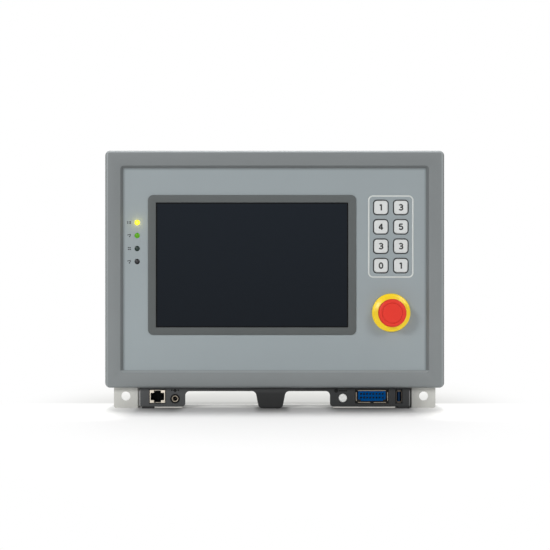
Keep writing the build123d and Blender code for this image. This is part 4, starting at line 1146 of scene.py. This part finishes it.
# painted shade: the paper's tone darker behind the part
floor_tones = [(0.0, 0.6), (0.13, 0.6), (0.165, 0.42), (0.215, 0.32)]
floor_tones += [(0.27, 0.42), (0.38, 0.445), (0.6, 0.485), (0.85, 0.54)]
stops = [(place, (tone, tone, tone * (0.97 if place else 1.0))) for place, tone in floor_tones]
tone = paper.node("ShaderNodeValToRGB", {"stops": stops}, {0: floor_y / 0.2})
tone = paper.mix(beside.most(under), tone, (0.97, 0.97, 0.95, 1.0))
tone = paper.mix(close, tone, grey(0.31))
paper.set(Base_Color=tone)
shown = paper.node(
    "ShaderNodeMixShader",
    values={0: away.above(0.42, 0.2), 1: Signal(paper, paper.surface.outputs[0]), 2: white},
)
paper.tree.links.new(shown.socket, paper.tree.nodes["Material Output"].inputs["Surface"])
floor_mesh.materials.append(paper.material)

# World: white for the camera and in reflections and glass; as a light, stronger from the back
world = bpy.data.worlds.new("studio")
bpy.context.scene.world = world
world.use_nodes = True
sky_tree = world.node_tree
sky = sky_tree.nodes["Background"]
sky.inputs["Color"].default_value = (1.0, 1.0, 1.0, 1.0)
facing = sky_tree.nodes.new("ShaderNodeSeparateXYZ")
sky_tree.links.new(sky_tree.nodes.new("ShaderNodeTexCoord").outputs["Object"], facing.inputs[0])
behind = ranged(sky_tree, facing.outputs[1], -0.3, 0.3, SKY_FRONT, SKY_BACK)
sky_tree.links.new(ranged(sky_tree, plain_view(sky_tree), 0.0, 1.0, behind, 1.0), sky.inputs["Strength"])


def lamp(name, kind, place, target, power, size):
    """A lamp that faces a point; size is a square's side, a ball's radius or a sun's angle."""
    data = bpy.data.lights.new(name, kind)
    data.energy = power
    if kind == "AREA":
        data.shape = "SQUARE"
        data.size = size
    elif kind == "SUN":
        data.angle = size
    else:
        data.shadow_soft_size = size
    made = bpy.data.objects.new(name, data)
    bpy.context.scene.collection.objects.link(made)
    made.location = place
    direction = Vector(target) - Vector(place)
    made.rotation_euler = direction.to_track_quat("-Z", "Y").to_euler()
    return made


lamp("lamp_over", "SUN", (0.0, math.tan(SUN_LEAN), 1.0), (0.0, 0.0, 0.0), SUN_POWER, SUN_ANGLE)
lamp("lamp_left", "AREA", LEFT_PLACE, (0.0, 0.0, 0.14), LEFT_POWER, LAMP_SIDE)
lamp("lamp_right", "AREA", RIGHT_PLACE, (0.0, 0.0, 0.14), RIGHT_POWER, LAMP_SIDE)
back_lamp = lamp("lamp_back", "AREA", (0.0, 1.2, 0.2), (0.0, 0.0, 0.0), BACK_POWER, 0.3)
back_lamp.data.shape = "RECTANGLE"
back_lamp.data.size = 0.7
back_lamp.data.size_y = 0.3
glow_place = (LAMP_X * MM, (FRAME_FRONT + FASCIA_DEPTH - 4.0) * MM, LAMP_TOP * MM)
glow = lamp("lamp_glow", "POINT", glow_place, (LAMP_X * MM, 0.0, LAMP_TOP * MM), 0.001, 0.0015)
glow.data.color = (1.0, 0.85, 0.1)
for hidden in (back_lamp, glow):
    hidden.visible_camera = False
    hidden.visible_glossy = False

camera_data = bpy.data.cameras.new("camera")
camera_data.lens = 85.0
camera_data.sensor_width = 36.0
camera_data.clip_end = 50.0
camera = bpy.data.objects.new("camera", camera_data)
bpy.context.scene.collection.objects.link(camera)
camera.location = CAMERA_PLACE
camera.rotation_euler = (math.pi / 2, 0, 0)
bpy.context.scene.camera = camera
bpy.context.scene.view_settings.view_transform = "Standard"
